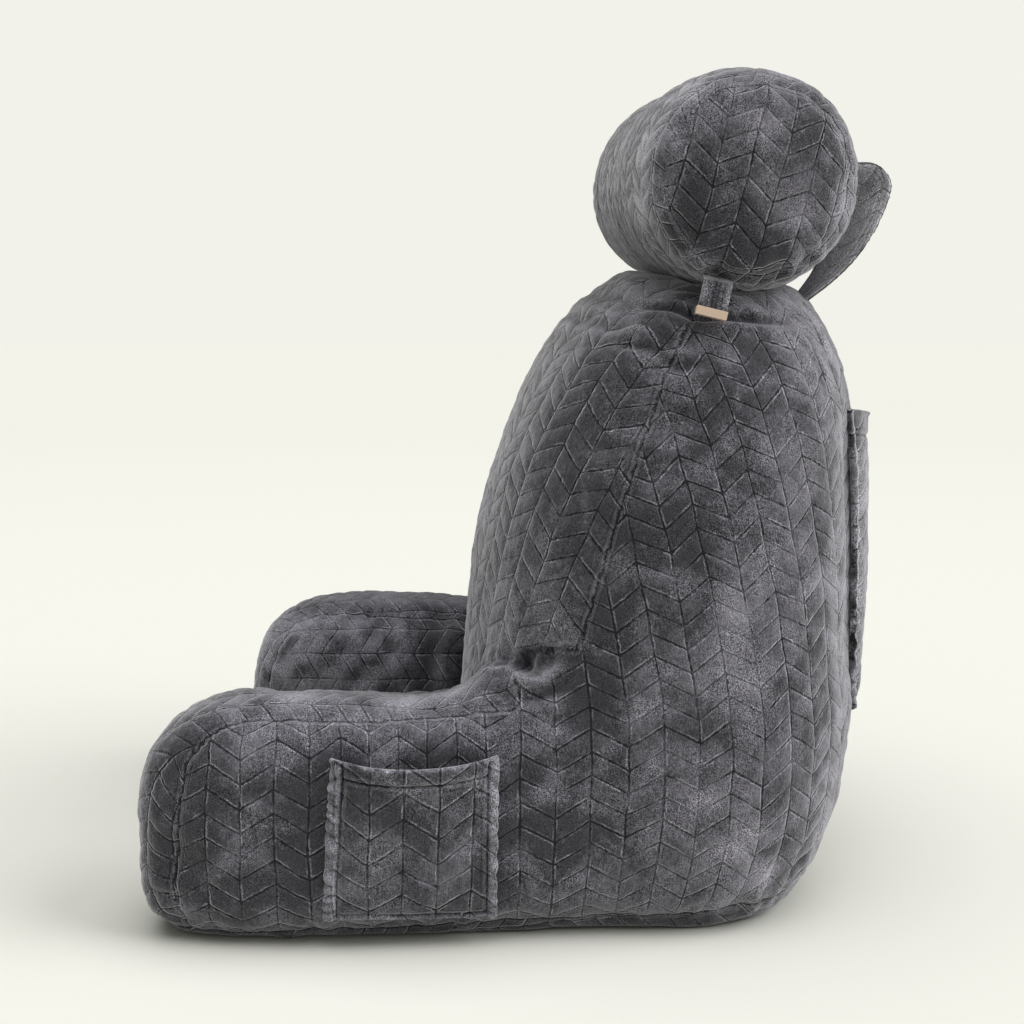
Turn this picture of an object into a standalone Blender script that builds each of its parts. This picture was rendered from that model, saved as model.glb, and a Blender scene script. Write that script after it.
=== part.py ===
"""Reading pillow with arms: a filled backrest with two arms, a neck roll on top held by
a strap, a short tab with a metal end, and two patch pockets.

The sitter's side faces -Y, the arms reach towards -Y, and the pillow stands on z = 0.
The origin is on the flat base, under the middle of the backrest. Lengths are in metres,
and the tables are in millimetres.
"""
import math

import bpy
import numpy as np
from mathutils import Vector
from mathutils.bvhtree import BVHTree

MM = 0.001

# Backrest: level sections from the floor up. Columns: height; front and back, both y; half,
# the half width; square, the exponent of the rounded outline, where 2 is an ellipse.
BACKREST_ROWS = (
    (-14, -126, 132, 226, 2.8),
    (10, -144, 152, 243, 2.8),
    (35, -157, 168, 255, 2.8),
    (80, -166, 183, 262, 2.8),
    (140, -170, 192, 264, 2.8),
    (210, -167, 194, 261, 2.7),
    (280, -159, 195, 255, 2.6),
    (340, -148, 195, 247, 2.6),
    (390, -134, 193, 238, 2.6),
    (435, -116, 189, 228, 2.5),
    (470, -99, 180, 217, 2.5),
    (500, -80, 170, 202, 2.4),
    (524, -59, 158, 181, 2.4),
    (540, -34, 142, 150, 2.3),
    (549, 10, 104, 100, 2.3),
)

# Arms: upright sections from the front end to inside the backrest. Columns: along, a y;
# inner and outer, distances from the middle plane; top; low, the underside, which the floor
# flattens.
ARM_ROWS = (
    (-430, 176, 240, 112, 34),
    (-423, 156, 258, 144, 12),
    (-408, 142, 271, 170, -4),
    (-382, 134, 279, 188, -10),
    (-345, 129, 283, 198, -12),
    (-290, 127, 283, 203, -12),
    (-236, 125, 280, 202, -12),
    (-180, 124, 275, 203, -12),
    (-135, 124, 271, 214, -12),
    (-95, 125, 266, 230, -12),
    (-50, 128, 260, 238, -12),
    (20, 136, 250, 214, -12),
)
ARM_SQUARE = 2.9
FAR_ARM_SHORTER = 13

# Neck roll: half of its turned profile, from the middle of an end to the middle of the roll.
# Columns: along, measured on its own axis; radius.
ROLL_ROWS = (
    (209, 14),
    (208, 34),
    (204, 57),
    (198, 72),
    (194, 77),
    (190, 81),
    (178, 88),
    (150, 94),
    (100, 97),
    (40, 96),
)
ROLL_MIDDLE = (0, 66, 636)
ROLL_YAW = math.radians(4.4)
ROLL_TILT = math.radians(4.1)
ROLL_DENT_CLEARANCE = 0.9

# Strap behind the roll, from the top of the back up to the roll. Columns: x, y, z of its near
# edge, then x, y, z of its far edge.
STRAP_ROWS = (
    (86, 151, 533, 36, 152, 539),
    (91, 167, 545, 40, 158, 553),
    (95, 187, 567, 43, 164, 575),
    (98, 204, 596, 44, 172, 602),
    (98, 212, 622, 44, 178, 628),
    (96, 209, 640, 43, 179, 643),
    (93, 196, 650, 41, 177, 652),
    (90, 177, 653, 38, 171, 655),
)
STRAP_THICKNESS = 6.0
STRAP_END_RISE = 1.7

# Tab at the near end of the roll, with its metal end.
TAB_SEAM = (200, 52, 547)
TAB_RISE = 1.5
TAB_LOW = (201, 43, 511)
TAB_WIDTH = 24.0
TAB_THICKNESS = 4.4

# Tab's sections, from its seam to its lower edge. Columns: share of its length; fullness.
TAB_SECTIONS = ((0, 0.8), (0.08, 1), (0.45, 1.06), (0.78, 1), (0.84, 0.8), (1, 0.8))
CLIP_WIDTH = 26.0
CLIP_HEIGHT = 7.0
CLIP_WALL = 0.9
CLIP_CLEARANCE = 0.35
CLIP_SOFT_EDGE = 0.25
STRIP_SQUARE = 4.0

# Patch pockets: a sheet that follows the body and stands off it at its open top edge. left
# and right are places across, dip is how far the mouth sags, flange is the sewn edge, stand
# is how far the mouth's middle opens, and floor is the share of it that stays low down.
SHEET_THICKNESS = 3.0
POCKET_GAP = 0.6
POCKET_PROBE = 4.5
POCKET_ARCH = 0.5
POCKET_FLARE = 1.3
POCKET_SEAM_SHARE = 0.12
POCKET_SEAM_CURVE = 0.7
ARM_POCKET = dict(
    left=-271, right=-130, left_top=-262, right_top=-128, bottom=26, top=163,
    dip=6, flange=9, stand=15, floor=0.25,
)
BACK_POCKET = dict(
    left=-140, right=140, left_top=-136, right_top=136, bottom=164, top=433,
    dip=8, flange=9, stand=16, floor=0.5,
)

# Evening out the filled skin: grid size, rounds of smoothing, height below which it is the
# flat base, and the share of the faces that stay.
BODY_VOXEL = 9.0
BODY_SOFTENING = 12
BASE_SNAP = 3.5
BODY_KEPT_FACES = 0.16

PLUSH = (0.092, 0.090, 0.102)
PALE_GOLD = (0.80, 0.60, 0.44)


def clear_scene():
    """Remove every object of the open scene."""
    for item in list(bpy.data.objects):
        bpy.data.objects.remove(item, do_unlink=True)


def surface_material(name, colour, roughness, metallic=0.0):
    """A Principled BSDF with one colour."""
    material = bpy.data.materials.new(name)
    material.use_nodes = True
    shader = material.node_tree.nodes["Principled BSDF"]
    shader.inputs["Base Color"].default_value = (*colour, 1.0)
    shader.inputs["Roughness"].default_value = roughness
    shader.inputs["Metallic"].default_value = metallic
    material.diffuse_color = (*colour, 1.0)
    return material


def new_object(name, points, faces, material=None):
    """An object whose mesh has these points, in metres, and these faces."""
    mesh = bpy.data.meshes.new(name)
    mesh.from_pydata([tuple(map(float, point)) for point in points], [], faces)
    mesh.update()
    item = bpy.data.objects.new(name, mesh)
    bpy.context.scene.collection.objects.link(item)
    if material:
        mesh.materials.append(material)
    return item


def smooth_rows(rows, count):
    """Rows of a table, evened out along a Catmull-Rom curve to count rows."""
    table = np.array(rows, dtype=float)
    last = len(table) - 1
    place = np.linspace(0.0, last, count)
    index = np.minimum(place.astype(int), last - 1)
    part = (place - index)[:, None]
    before = table[np.maximum(index - 1, 0)]
    start = table[index]
    end = table[index + 1]
    after = table[np.minimum(index + 2, last)]
    return 0.5 * (
        2 * start
        + (end - before) * part
        + (2 * before - 5 * start + 4 * end - after) * part**2
        + (3 * start - before - 3 * end + after) * part**3
    )


def rounded_outline(square, count):
    """Points of a superellipse with half axes of 1, anticlockwise from +first axis."""
    angle = np.linspace(0.0, 2 * math.pi, count, endpoint=False)
    cosine = np.cos(angle)
    sine = np.sin(angle)
    power = 2.0 / square
    return np.sign(cosine) * np.abs(cosine) ** power, np.sign(sine) * np.abs(sine) ** power


def closed_loft(rings):
    """Points and faces of a closed skin over rings, each end closed by a fan."""
    stations, around, _ = rings.shape
    points = [*rings.reshape(-1, 3), rings[0].mean(axis=0), rings[-1].mean(axis=0)]
    faces = []
    for station in range(stations - 1):
        for side in range(around):
            here = station * around + side
            beside = station * around + (side + 1) % around
            faces.append((here, beside, beside + around, here + around))
    first_middle = stations * around
    last_ring = (stations - 1) * around
    for side in range(around):
        beside = (side + 1) % around
        faces.append((beside, side, first_middle))
        faces.append((last_ring + side, last_ring + beside, first_middle + 1))
    return points, faces


def backrest_form(levels=44, around=72):
    """The backrest as level rounded sections."""
    rings = []
    for height, front, back, half, square in smooth_rows(BACKREST_ROWS, levels):
        across, deep = rounded_outline(square, around)
        x = half * across
        y = (front + back) / 2 + (back - front) / 2 * deep
        z = np.full(around, max(height, 0.0))
        rings.append(np.stack([x, y, z], axis=1))
    return new_object("backrest_form", *closed_loft(np.array(rings) * MM))


def arm_form(side, stations=36, around=44):
    """One arm as upright rounded sections; side is 1 for +X and -1 for -X."""
    rings = []
    front = ARM_ROWS[0][0]
    for along, inner, outer, top, low in smooth_rows(ARM_ROWS, stations):
        if side < 0:
            along *= 1 + FAR_ARM_SHORTER / front
        across, up = rounded_outline(ARM_SQUARE, around)
        x = side * ((inner + outer) / 2 + (outer - inner) / 2 * across)
        z = np.maximum((top + low) / 2 + (top - low) / 2 * up, 0.0)
        y = np.full(around, along)
        rings.append(np.stack([x, y, z], axis=1))
    rings = np.array(rings) * MM
    if side > 0:
        rings = rings[:, ::-1]
    return new_object("arm_form", *closed_loft(rings))


def roll_frame():
    """The roll's middle, and the unit vectors along it, backwards and up."""
    along = Vector(
        (
            math.cos(ROLL_YAW) * math.cos(ROLL_TILT),
            math.sin(ROLL_YAW) * math.cos(ROLL_TILT),
            -math.sin(ROLL_TILT),
        )
    )
    back = Vector((0, 0, 1)).cross(along).normalized()
    return Vector(ROLL_MIDDLE), along, back, along.cross(back)


def roll_profile(count):
    """Whole turned profile of the roll, from its -X end to its +X end."""
    half = smooth_rows(ROLL_ROWS, count)
    other = half.copy()
    other[:, 0] *= -1
    return np.concatenate([other, half[::-1]])


def dent_under_roll(points):
    """Push points out of the roll's lower half, so that the backrest's top cradles it."""
    middle, along, back, up = roll_frame()
    axes = np.array([along, back, up])
    local = (points / MM - np.array(middle)) @ axes.T
    profile = smooth_rows(ROLL_ROWS, 40)[::-1]
    radius = np.interp(np.abs(local[:, 0]), profile[:, 0], profile[:, 1])
    reach = radius + ROLL_DENT_CLEARANCE
    distance = np.hypot(local[:, 1], local[:, 2])
    inside = (distance < reach) & (np.abs(local[:, 0]) < ROLL_ROWS[0][0])
    scale = np.where(inside, reach / np.maximum(distance, 1.0), 1.0)
    local[:, 1:] *= scale[:, None]
    return (local @ axes + np.array(middle)) * MM


def evaluated_mesh(item):
    """A new mesh of the object with its modifiers applied."""
    bpy.context.view_layer.update()
    graph = bpy.context.evaluated_depsgraph_get()
    return bpy.data.meshes.new_from_object(item.evaluated_get(graph))


def make_body(material):
    """One filled solid: backrest and arms joined, then evened out as one soft skin."""
    body = backrest_form()
    body.name = "body"
    helpers = [arm_form(1), arm_form(-1)]
    for helper in helpers:
        helper.hide_render = True
        helper.display_type = "WIRE"
        union = body.modifiers.new("join_arm", "BOOLEAN")
        union.operation = "UNION"
        union.solver = "EXACT"
        union.object = helper
    skin = body.modifiers.new("even_skin", "REMESH")
    skin.mode = "VOXEL"
    skin.voxel_size = BODY_VOXEL * MM
    soften = body.modifiers.new("soften", "SMOOTH")
    soften.factor = 0.5
    soften.iterations = BODY_SOFTENING
    mesh = evaluated_mesh(body)
    body.modifiers.clear()
    body.data = mesh
    for helper in helpers:
        bpy.data.objects.remove(helper, do_unlink=True)
    points = np.empty(len(mesh.vertices) * 3)
    mesh.vertices.foreach_get("co", points)
    points = points.reshape(-1, 3)
    points = dent_under_roll(points)
    points[points[:, 2] < BASE_SNAP * MM, 2] = 0.0
    mesh.vertices.foreach_set("co", points.ravel())
    mesh.update()
    thin = body.modifiers.new("fewer_faces", "DECIMATE")
    thin.ratio = BODY_KEPT_FACES
    body.data = evaluated_mesh(body)
    body.modifiers.clear()
    body.data.materials.clear()
    body.data.materials.append(material)
    return body


def make_roll(material, around=32):
    """The neck roll: its profile turned about its own axis, in its place on top."""
    middle, along, back, up = roll_frame()
    angle = np.linspace(0.0, 2 * math.pi, around, endpoint=False)
    rings = []
    for place, radius in roll_profile(12):
        turn = np.outer(np.cos(angle), back) + np.outer(np.sin(angle), up)
        rings.append(np.array(middle) + place * np.array(along) + radius * turn)
    return new_object("neck_roll", *closed_loft(np.array(rings) * MM), material)


def flat_loop(width, thickness, count=12):
    """Cross-section of a soft flat strip: offsets across its width and its thickness."""
    across, through = rounded_outline(STRIP_SQUARE, count)
    return across * width / 2, through * thickness / 2


def seat_on(tree, place, rise):
    """Where a point lands, in mm, if it is moved to rise above the nearest surface."""
    hit, normal = tree.find_nearest(Vector(place) * MM)[:2]
    return np.array(hit) / MM + np.array(normal) * rise


def make_strap(material, body_tree, roll_tree, stations=20):
    """The strap: a flat soft section carried between its two edges, its ends seated."""
    table = np.array(STRAP_ROWS, dtype=float)
    for row, tree in ((0, body_tree), (-1, roll_tree)):
        table[row, :3] = seat_on(tree, table[row, :3], STRAP_END_RISE)
        table[row, 3:] = seat_on(tree, table[row, 3:], STRAP_END_RISE)
    rows = smooth_rows(table, stations)
    near = rows[:, :3]
    far = rows[:, 3:]
    middle = (near + far) / 2
    along = np.gradient(middle, axis=0)
    across = near - far
    width = np.linalg.norm(across, axis=1)
    across = across / width[:, None]
    normal = np.cross(along, across)
    normal = normal / np.linalg.norm(normal, axis=1)[:, None]
    rings = []
    for station in range(stations):
        sideways, through = flat_loop(width[station], STRAP_THICKNESS)
        ring = middle[station] + np.outer(sideways, across[station])
        rings.append(ring + np.outer(through, normal[station]))
    return new_object("roll_strap", *closed_loft(np.array(rings) * MM), material)


def tab_frame(top):
    """Unit vectors of the tab: down its length, across its width and through it."""
    down = (Vector(TAB_LOW) - Vector(top)).normalized()
    across = down.cross(Vector((1, 0, 0))).normalized()
    return [np.array(axis) for axis in (down, across, down.cross(across).normalized())]


def make_tab(material, top):
    """The folded tab: a flat strip with soft edges that hangs from the roll's end seam."""
    down, across, through = tab_frame(top)
    length = (Vector(TAB_LOW) - Vector(top)).length
    rings = []
    for share, fullness in TAB_SECTIONS:
        sideways, deep = flat_loop(TAB_WIDTH, TAB_THICKNESS * fullness, 16)
        ring = np.array(top) + share * length * down
        rings.append(ring + np.outer(sideways, across) + np.outer(deep, through))
    return new_object("side_tab", *closed_loft(np.array(rings) * MM), material)


def make_clip(material, top):
    """The metal end: a folded channel over the tab's lower edge."""
    down, across, through = tab_frame(top)
    inner = TAB_THICKNESS * TAB_SECTIONS[-1][1] / 2 + CLIP_CLEARANCE
    outer = inner + CLIP_WALL
    bottom = CLIP_CLEARANCE
    rise = bottom + CLIP_WALL - CLIP_HEIGHT
    profile = (
        (-outer, rise),
        (-inner, rise),
        (-inner, bottom),
        (inner, bottom),
        (inner, rise),
        (outer, rise),
        (outer, bottom + CLIP_WALL),
        (-outer, bottom + CLIP_WALL),
    )
    points = []
    for end in (-0.5, 0.5):
        for deep, low in profile:
            place = np.array(TAB_LOW) + end * CLIP_WIDTH * across + deep * through + low * down
            points.append(place * MM)
    count = len(profile)
    sides = [(i, (i + 1) % count, (i + 1) % count + count, i + count) for i in range(count)]
    first_end = [(7, 2, 1, 0), (7, 6, 3, 2), (6, 5, 4, 3)]
    last_end = [tuple(count + i for i in reversed(face)) for face in first_end]
    clip = new_object("tab_clip", points, sides + first_end + last_end, material)
    edge = clip.modifiers.new("soft_edge", "BEVEL")
    edge.width = CLIP_SOFT_EDGE * MM
    edge.segments = 1
    return clip


def surface_tree(item):
    """A search tree over a finished piece."""
    mesh = item.data
    points = [vertex.co.copy() for vertex in mesh.vertices]
    faces = [tuple(face.vertices) for face in mesh.polygons]
    return BVHTree.FromPolygons(points, faces)


def surface_height(tree, across, height, direction):
    """How far the body reaches along direction near a point, in mm; the highest of five hits."""
    reached = []
    side = Vector((0, 0, 1)).cross(direction)
    for step_across, step_up in ((0, 0), (1, 0), (-1, 0), (0, 1), (0, -1)):
        start = side * (across + POCKET_PROBE * step_across) * MM
        start += Vector((0, 0, (height + POCKET_PROBE * step_up) * MM)) + direction
        hit = tree.ray_cast(start, -direction)[0]
        reached.append(hit.dot(direction) / MM)
    return max(reached)


def pocket_stand(size, share_across, share_up):
    """How far the pocket stands off the body: nothing at its flanges and its bottom seam."""
    width = size["right"] - size["left"]
    edge = size["flange"] / width
    inner = np.clip((share_across - edge) / (1 - 2 * edge), 0.0, 1.0)
    arch = (4 * inner * (1 - inner)) ** POCKET_ARCH
    rise = np.clip(share_up / POCKET_SEAM_SHARE, 0.0, 1.0) ** POCKET_SEAM_CURVE
    open_up = size["floor"] + (1 - size["floor"]) * share_up**POCKET_FLARE
    return size["stand"] * arch * rise * open_up


def make_pocket(name, tree, direction, size, material, columns=12, levels=10):
    """A patch pocket: two skins over the body's own surface, joined at their rim."""
    side = Vector((0, 0, 1)).cross(direction)
    sign = 1 if side.dot(Vector((1, 1, 0))) > 0 else -1
    inner_skin = []
    outer_skin = []
    for level in range(levels):
        share_up = level / (levels - 1)
        for column in range(columns):
            share_across = column / (columns - 1)
            left = size["left"] + (size["left_top"] - size["left"]) * share_up
            right = size["right"] + (size["right_top"] - size["right"]) * share_up
            across = left + (right - left) * share_across
            dip = size["dip"] * 4 * share_across * (1 - share_across) * share_up
            height = size["bottom"] + (size["top"] - size["bottom"]) * share_up - dip
            base = surface_height(tree, sign * across, height, direction)
            base += POCKET_GAP + pocket_stand(size, share_across, share_up)
            flat = side * sign * across + Vector((0, 0, height))
            inner_skin.append((flat + direction * base) * MM)
            outer_skin.append((flat + direction * (base + SHEET_THICKNESS)) * MM)
    count = columns * levels
    faces = []
    for level in range(levels - 1):
        for column in range(columns - 1):
            here = level * columns + column
            square = (here, here + 1, here + 1 + columns, here + columns)
            faces.append(tuple(reversed(square)))
            faces.append(tuple(corner + count for corner in square))
    rim = [*range(columns)]
    rim += [level * columns + columns - 1 for level in range(1, levels)]
    rim += [(levels - 1) * columns + column for column in range(columns - 2, -1, -1)]
    rim += [level * columns for level in range(levels - 2, 0, -1)]
    for here, beside in zip(rim, rim[1:] + rim[:1]):
        faces.append((here, beside, beside + count, here + count))
    if sign < 0:
        faces = [tuple(reversed(face)) for face in faces]
    return new_object(name, inner_skin + outer_skin, faces, material)


def shade(item, angle=50):
    """Smooth shading with sharp edges kept where faces meet steeply."""
    item.data.shade_smooth()
    item.data.set_sharp_from_angle(angle=math.radians(angle))


def main():
    """Build every piece of the pillow."""
    clear_scene()
    plush = {
        name: surface_material(name + "_plush", PLUSH, 0.95)
        for name in ("body", "roll", "strap", "tab", "arm_pocket", "back_pocket")
    }
    body = make_body(plush["body"])
    roll = make_roll(plush["roll"])
    tree = surface_tree(body)
    roll_tree = surface_tree(roll)
    tab_top = seat_on(roll_tree, TAB_SEAM, TAB_RISE)
    pieces = [
        body,
        roll,
        make_strap(plush["strap"], tree, roll_tree),
        make_tab(plush["tab"], tab_top),
        make_clip(surface_material("clip_metal", PALE_GOLD, 0.3, 1.0), tab_top),
        make_pocket("arm_pocket", tree, Vector((1, 0, 0)), ARM_POCKET, plush["arm_pocket"]),
        make_pocket("back_pocket", tree, Vector((0, 1, 0)), BACK_POCKET, plush["back_pocket"]),
    ]
    for piece in pieces:
        shade(piece)


main()
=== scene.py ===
"""Looks of a plush reading pillow with arms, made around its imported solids.

The sitter's side faces -Y, the arm with the pocket is at +X, and the pillow stands on z = 0.
Lengths are in metres; a table named in millimetres is multiplied by MM.
"""
import math
from types import SimpleNamespace

import bmesh
import bpy
import numpy as np
from mathutils import Matrix, Vector


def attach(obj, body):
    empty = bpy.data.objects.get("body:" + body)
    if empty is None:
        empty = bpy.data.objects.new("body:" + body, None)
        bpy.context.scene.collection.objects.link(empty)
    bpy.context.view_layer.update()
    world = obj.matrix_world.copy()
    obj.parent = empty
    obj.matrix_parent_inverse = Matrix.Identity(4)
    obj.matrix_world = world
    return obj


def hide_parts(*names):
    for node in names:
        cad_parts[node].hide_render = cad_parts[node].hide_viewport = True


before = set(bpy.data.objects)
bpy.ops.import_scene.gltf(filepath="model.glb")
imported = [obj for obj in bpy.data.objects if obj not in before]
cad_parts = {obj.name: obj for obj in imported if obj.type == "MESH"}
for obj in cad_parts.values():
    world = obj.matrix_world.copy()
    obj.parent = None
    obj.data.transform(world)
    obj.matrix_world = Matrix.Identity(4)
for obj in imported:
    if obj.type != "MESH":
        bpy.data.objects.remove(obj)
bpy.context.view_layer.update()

MM = 0.001

# Embossed plush: columns of slanted cells, neighbouring columns mirrored.
COLUMN = 27.5 * MM
CELL = 19.9 * MM
SLANT_RISE = 0.86
SLANT_SLOPE = math.cos(math.atan(SLANT_RISE * CELL / COLUMN))
CORNER_ROUNDING = 2.2 * MM
GROOVE_DEPTH = 1.25 * MM
WOBBLE = 0.9 * MM
WOBBLE_LENGTH = 45 * MM

# Camera, at the photo's viewing angle.
CAMERA_PLACE = (1.33, -0.105, 0.497)
CAMERA_PITCH = math.radians(7.44)
CAMERA_YAW = math.radians(0.7)
CAMERA_LENS = 48.16

# Noises of the plush: scale, detail, roughness, distortion, and the ends of its range with what
# they become.
NOISES = {
    "patches": (13.0, 3.0, 0.55, 0.5, 0.36, 0.64),
    "smudges": (42.0, 3.0, 0.6, 0.9, 0.33, 0.67),
    # The next two make the grooves' painted shade and the rims' painted highlights uneven.
    "uneven_groove_shade": (36.0, 2.0, 0.5, 0.0, 0.36, 0.60, 1.0, 0.30),
    "bright_rims": (58.0, 2.0, 0.5, 0.4, 0.42, 0.62, 0.1, 1.3),
    "ruffled": (26.0, 3.0, 0.6, 0.7, 0.36, 0.62, 0.40, 1.0),
    "uneven_grooves": (260.0, 2.0, 0.6, 0.0, 0.25, 0.75, -0.45, 0.45),
}

# How much each mark lightens the pile (or darkens it), and raises the bump, in mm.
# rim and seam_rim are painted highlights beside grooves and seams, line and seam_line painted
# shade in them, and the stored mark is nap with painted light and shade.
NAP = {"patches": 0.31, "smudges": 0.18, "cell": 0.10, "nap_and_painted_light": 0.26, "rim": 0.47,
       "seam_rim": 0.20, "line": -0.38, "seam_line": -0.24}
NAP_BASE = -0.05
NAP_LEAST = 0.11
NAP_LEAST_SOFT = 0.16
BUMP = {"tufts": 0.7, "strokes": 0.5, "line": -1.2, "rim": 0.3, "seam_line": -1.0}
FUZZ_BUMP = 0.5

# The pile's colours where it lies darkest and lightest, and lighter copies of the lightest that
# paint light: a painted sheen on the back pocket, and painted light on the strap, whose seen face
# lies in shade.
DARK_PILE = (0.008, 0.0076, 0.0100, 1)
LIGHT_PILE = (0.290, 0.281, 0.327, 1)
BACK_POCKET_PAINTED_SHEEN = (0.50, 0.49, 0.55, 1)
STRAP_PAINTED_LIGHT = (0.70, 0.685, 0.74, 1)

# Floor, half its width, and the wall's colour and how much light it gives.
FLOOR_REACH = 60.0
# Floor colours near and far: darker far away, painted shade that brings the far floor to the
# wall's tone.
FLOOR_NEAR = (0.716, 0.716, 0.667, 1)
FLOOR_FAR = (0.681, 0.681, 0.634, 1)
WALL = (0.888, 0.888, 0.823, 1)
WALL_LIGHT = 0.28

# Lamps: name, heading, energy and breadth in degrees.
LAMPS = (
    ("window", (-0.14, -0.80, -0.66), 2.2, 40),
    ("ceiling", (-0.05, 0.05, -1.0), 1.95, 60),
)

# Far arm: how much shorter it is than the near one.
ARM_REACH = 430.0
FAR_ARM_SHORTER = 13.0

# Side panel's edge in the side view, (y, z) in mm: the arm's outer seam from the floor round
# its front end and along its top, up the crease and the front seam, then past the back.
SIDE_OUTLINE_MM = np.array((
    (-380, -20), (-386, 12), (-394, 44), (-389, 80), (-386, 121), (-381, 151), (-374, 164),
    (-364, 173), (-348, 183), (-332, 187), (-280, 188), (-235, 187), (-134, 193),
    (-112, 196), (-114, 209), (-117, 222), (-108, 230), (-91, 239), (-65, 243), (-59, 262),
    (-53, 282), (-45, 313), (-38, 339), (-26, 372), (-18, 400), (-7, 429), (9, 475),
    (30, 512), (48, 535), (62, 556), (70, 700), (300, 700), (300, -20),
), dtype=float)
SIDE_FROM_X = 205.0
SIDE_FROM_Y = -60.0

# Arm's inner panel, the same way.
INNER_OUTLINE_MM = np.array((
    (-398, -20), (-405, 12), (-412, 60), (-409, 110), (-397, 150), (-379, 178), (-356, 189),
    (-320, 192), (-273, 189), (-214, 187), (-165, 191), (-120, 196), (-120, -20),
), dtype=float)

# Crease between the arm and the front panel: y for each distance from the middle plane.
CREASE_MM = np.array((
    (118, -176), (135, -166), (150, -159), (170, -147), (190, -137), (205, -125),
    (217, -112), (232, -91), (247, -63),
), dtype=float)

# Seam above the floor, z for each y.
BASE_SEAM_MM = np.array((
    (-430, 6), (-380, 6), (-200, 9), (-95, 14), (37, 15), (90, 24), (150, 28), (210, 26),
), dtype=float)

# Sewn panels, and for each a place in mm and the column line that passes it: even lines are
# peaks.
SIDE, FRONT, STRIP_NEAR, STRIP_FAR, INNER_NEAR, INNER_FAR, BASE = range(7)
PANEL_ANCHORS = (
    ((263, 5, 160), 0.0), ((213, -36, 432), 1.0), ((240, -321, 196), 1.0),
    ((-240, -321, 196), 1.0), ((129, -300, 120), 0.0), ((-150, -300, 171), 0.0),
    ((0, 0, 0), 0.0),
)

# How far the columns lean, as y for each z: on the side panel above the arm's height and low
# at the back, and on the front panel.
SIDE_LEAN = -0.20
SIDE_LOW_LEAN = 0.35
FRONT_LEAN = 0.35

# Behind the arm pocket the side panel's columns are narrower, and a little so at its back.
NARROW_FROM = -271 * MM
NARROW_TO = -133 * MM
NARROWING = 1.196
BACK_NARROWING = 0.10


def smooth_rows(rows, count):
    """Rows of a table evened out to count rows: each stretch p0..p3 is the Catmull-Rom cubic
    0.5 (2 p1 + (p2 - p0) t + (2 p0 - 5 p1 + 4 p2 - p3) t^2 + (3 p1 - p0 - 3 p2 + p3) t^3)."""
    table = np.array(rows, dtype=float)
    last = len(table) - 1
    place = np.linspace(0.0, last, count)
    index = np.minimum(place.astype(int), last - 1)
    part = (place - index)[:, None]
    p0, p1, p2, p3 = (table[np.clip(index + step, 0, last)] for step in (-1, 0, 1, 2))
    return 0.5 * (
        2 * p1
        + (p2 - p0) * part
        + (2 * p0 - 5 * p1 + 4 * p2 - p3) * part**2
        + (3 * p1 - p0 - 3 * p2 + p3) * part**3
    )


def waves(points, size, seed, count=16):
    """Smooth noise of about unit strength / 2: a sum of sines of random direction and phase,
    with wavelengths near size, divided by the square root of twice their number."""
    rng = np.random.default_rng(seed)
    heading = rng.normal(size=(count, 3))
    heading /= lengths(heading)[:, None]
    number = 2 * math.pi / (size * rng.uniform(0.7, 1.5, count))
    phase = rng.uniform(0, 2 * math.pi, count)
    total = np.zeros(len(points))
    for axis, turn, shift in zip(heading, number, phase):
        total += np.sin(points @ axis * turn + shift)
    return total / math.sqrt(2 * count)


def grid_waves(places, size, seed):
    """waves() at a grid of places in mm (rows, columns, 3), with a size in mm."""
    return waves(places.reshape(-1, 3) * MM, size * MM, seed).reshape(places.shape[:-1])


def lengths(vectors):
    """Length of each vector of the last axis."""
    return np.linalg.norm(vectors, axis=-1)


def travelled(path):
    """Distance along a path, or a row of paths, from its first point to each of its points."""
    steps = lengths(np.diff(path, axis=0))
    return np.concatenate([np.zeros_like(steps[:1]), np.cumsum(steps, axis=0)])


def bell(distance, width):
    """exp(-(distance / width)^2)."""
    return np.exp(-((distance / width) ** 2))


def step_up(value, low, high):
    """0 below low, 1 above high, and 3 t^2 - 2 t^3 between them."""
    share = np.clip((value - low) / (high - low), 0.0, 1.0)
    return share * share * (3 - 2 * share)


def cell_distance(u, v):
    """Distance in metres from the nearest groove of the embossing, where u counts columns and
    v counts cells: the smaller of the distances to the column line (whole u) and to the
    slanted groove (whole v + rise * pingpong(u)), blended by a smooth minimum."""
    zigzag = 1 - np.abs(np.mod(u, 2.0) - 1)
    column = (0.5 - np.abs(np.mod(u, 1.0) - 0.5)) * COLUMN
    slanted = (0.5 - np.abs(np.mod(v + SLANT_RISE * zigzag, 1.0) - 0.5)) * CELL * SLANT_SLOPE
    share = np.clip(0.5 + 0.5 * (slanted - column) / CORNER_ROUNDING, 0.0, 1.0)
    blended = slanted * (1 - share) + column * share
    return np.maximum(blended - CORNER_ROUNDING * share * (1 - share), 0.0)


def emboss(u, v):
    """Height of the padded cells: at each groove a narrow trough of 0.65 of the depth in a
    wider one of 0.35."""
    distance = cell_distance(u, v)
    return -GROOVE_DEPTH * (0.65 * bell(distance, 2.4 * MM) + 0.35 * bell(distance, 6.0 * MM))


def link(item):
    """Put an object into the scene."""
    bpy.context.scene.collection.objects.link(item)
    return item


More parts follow.
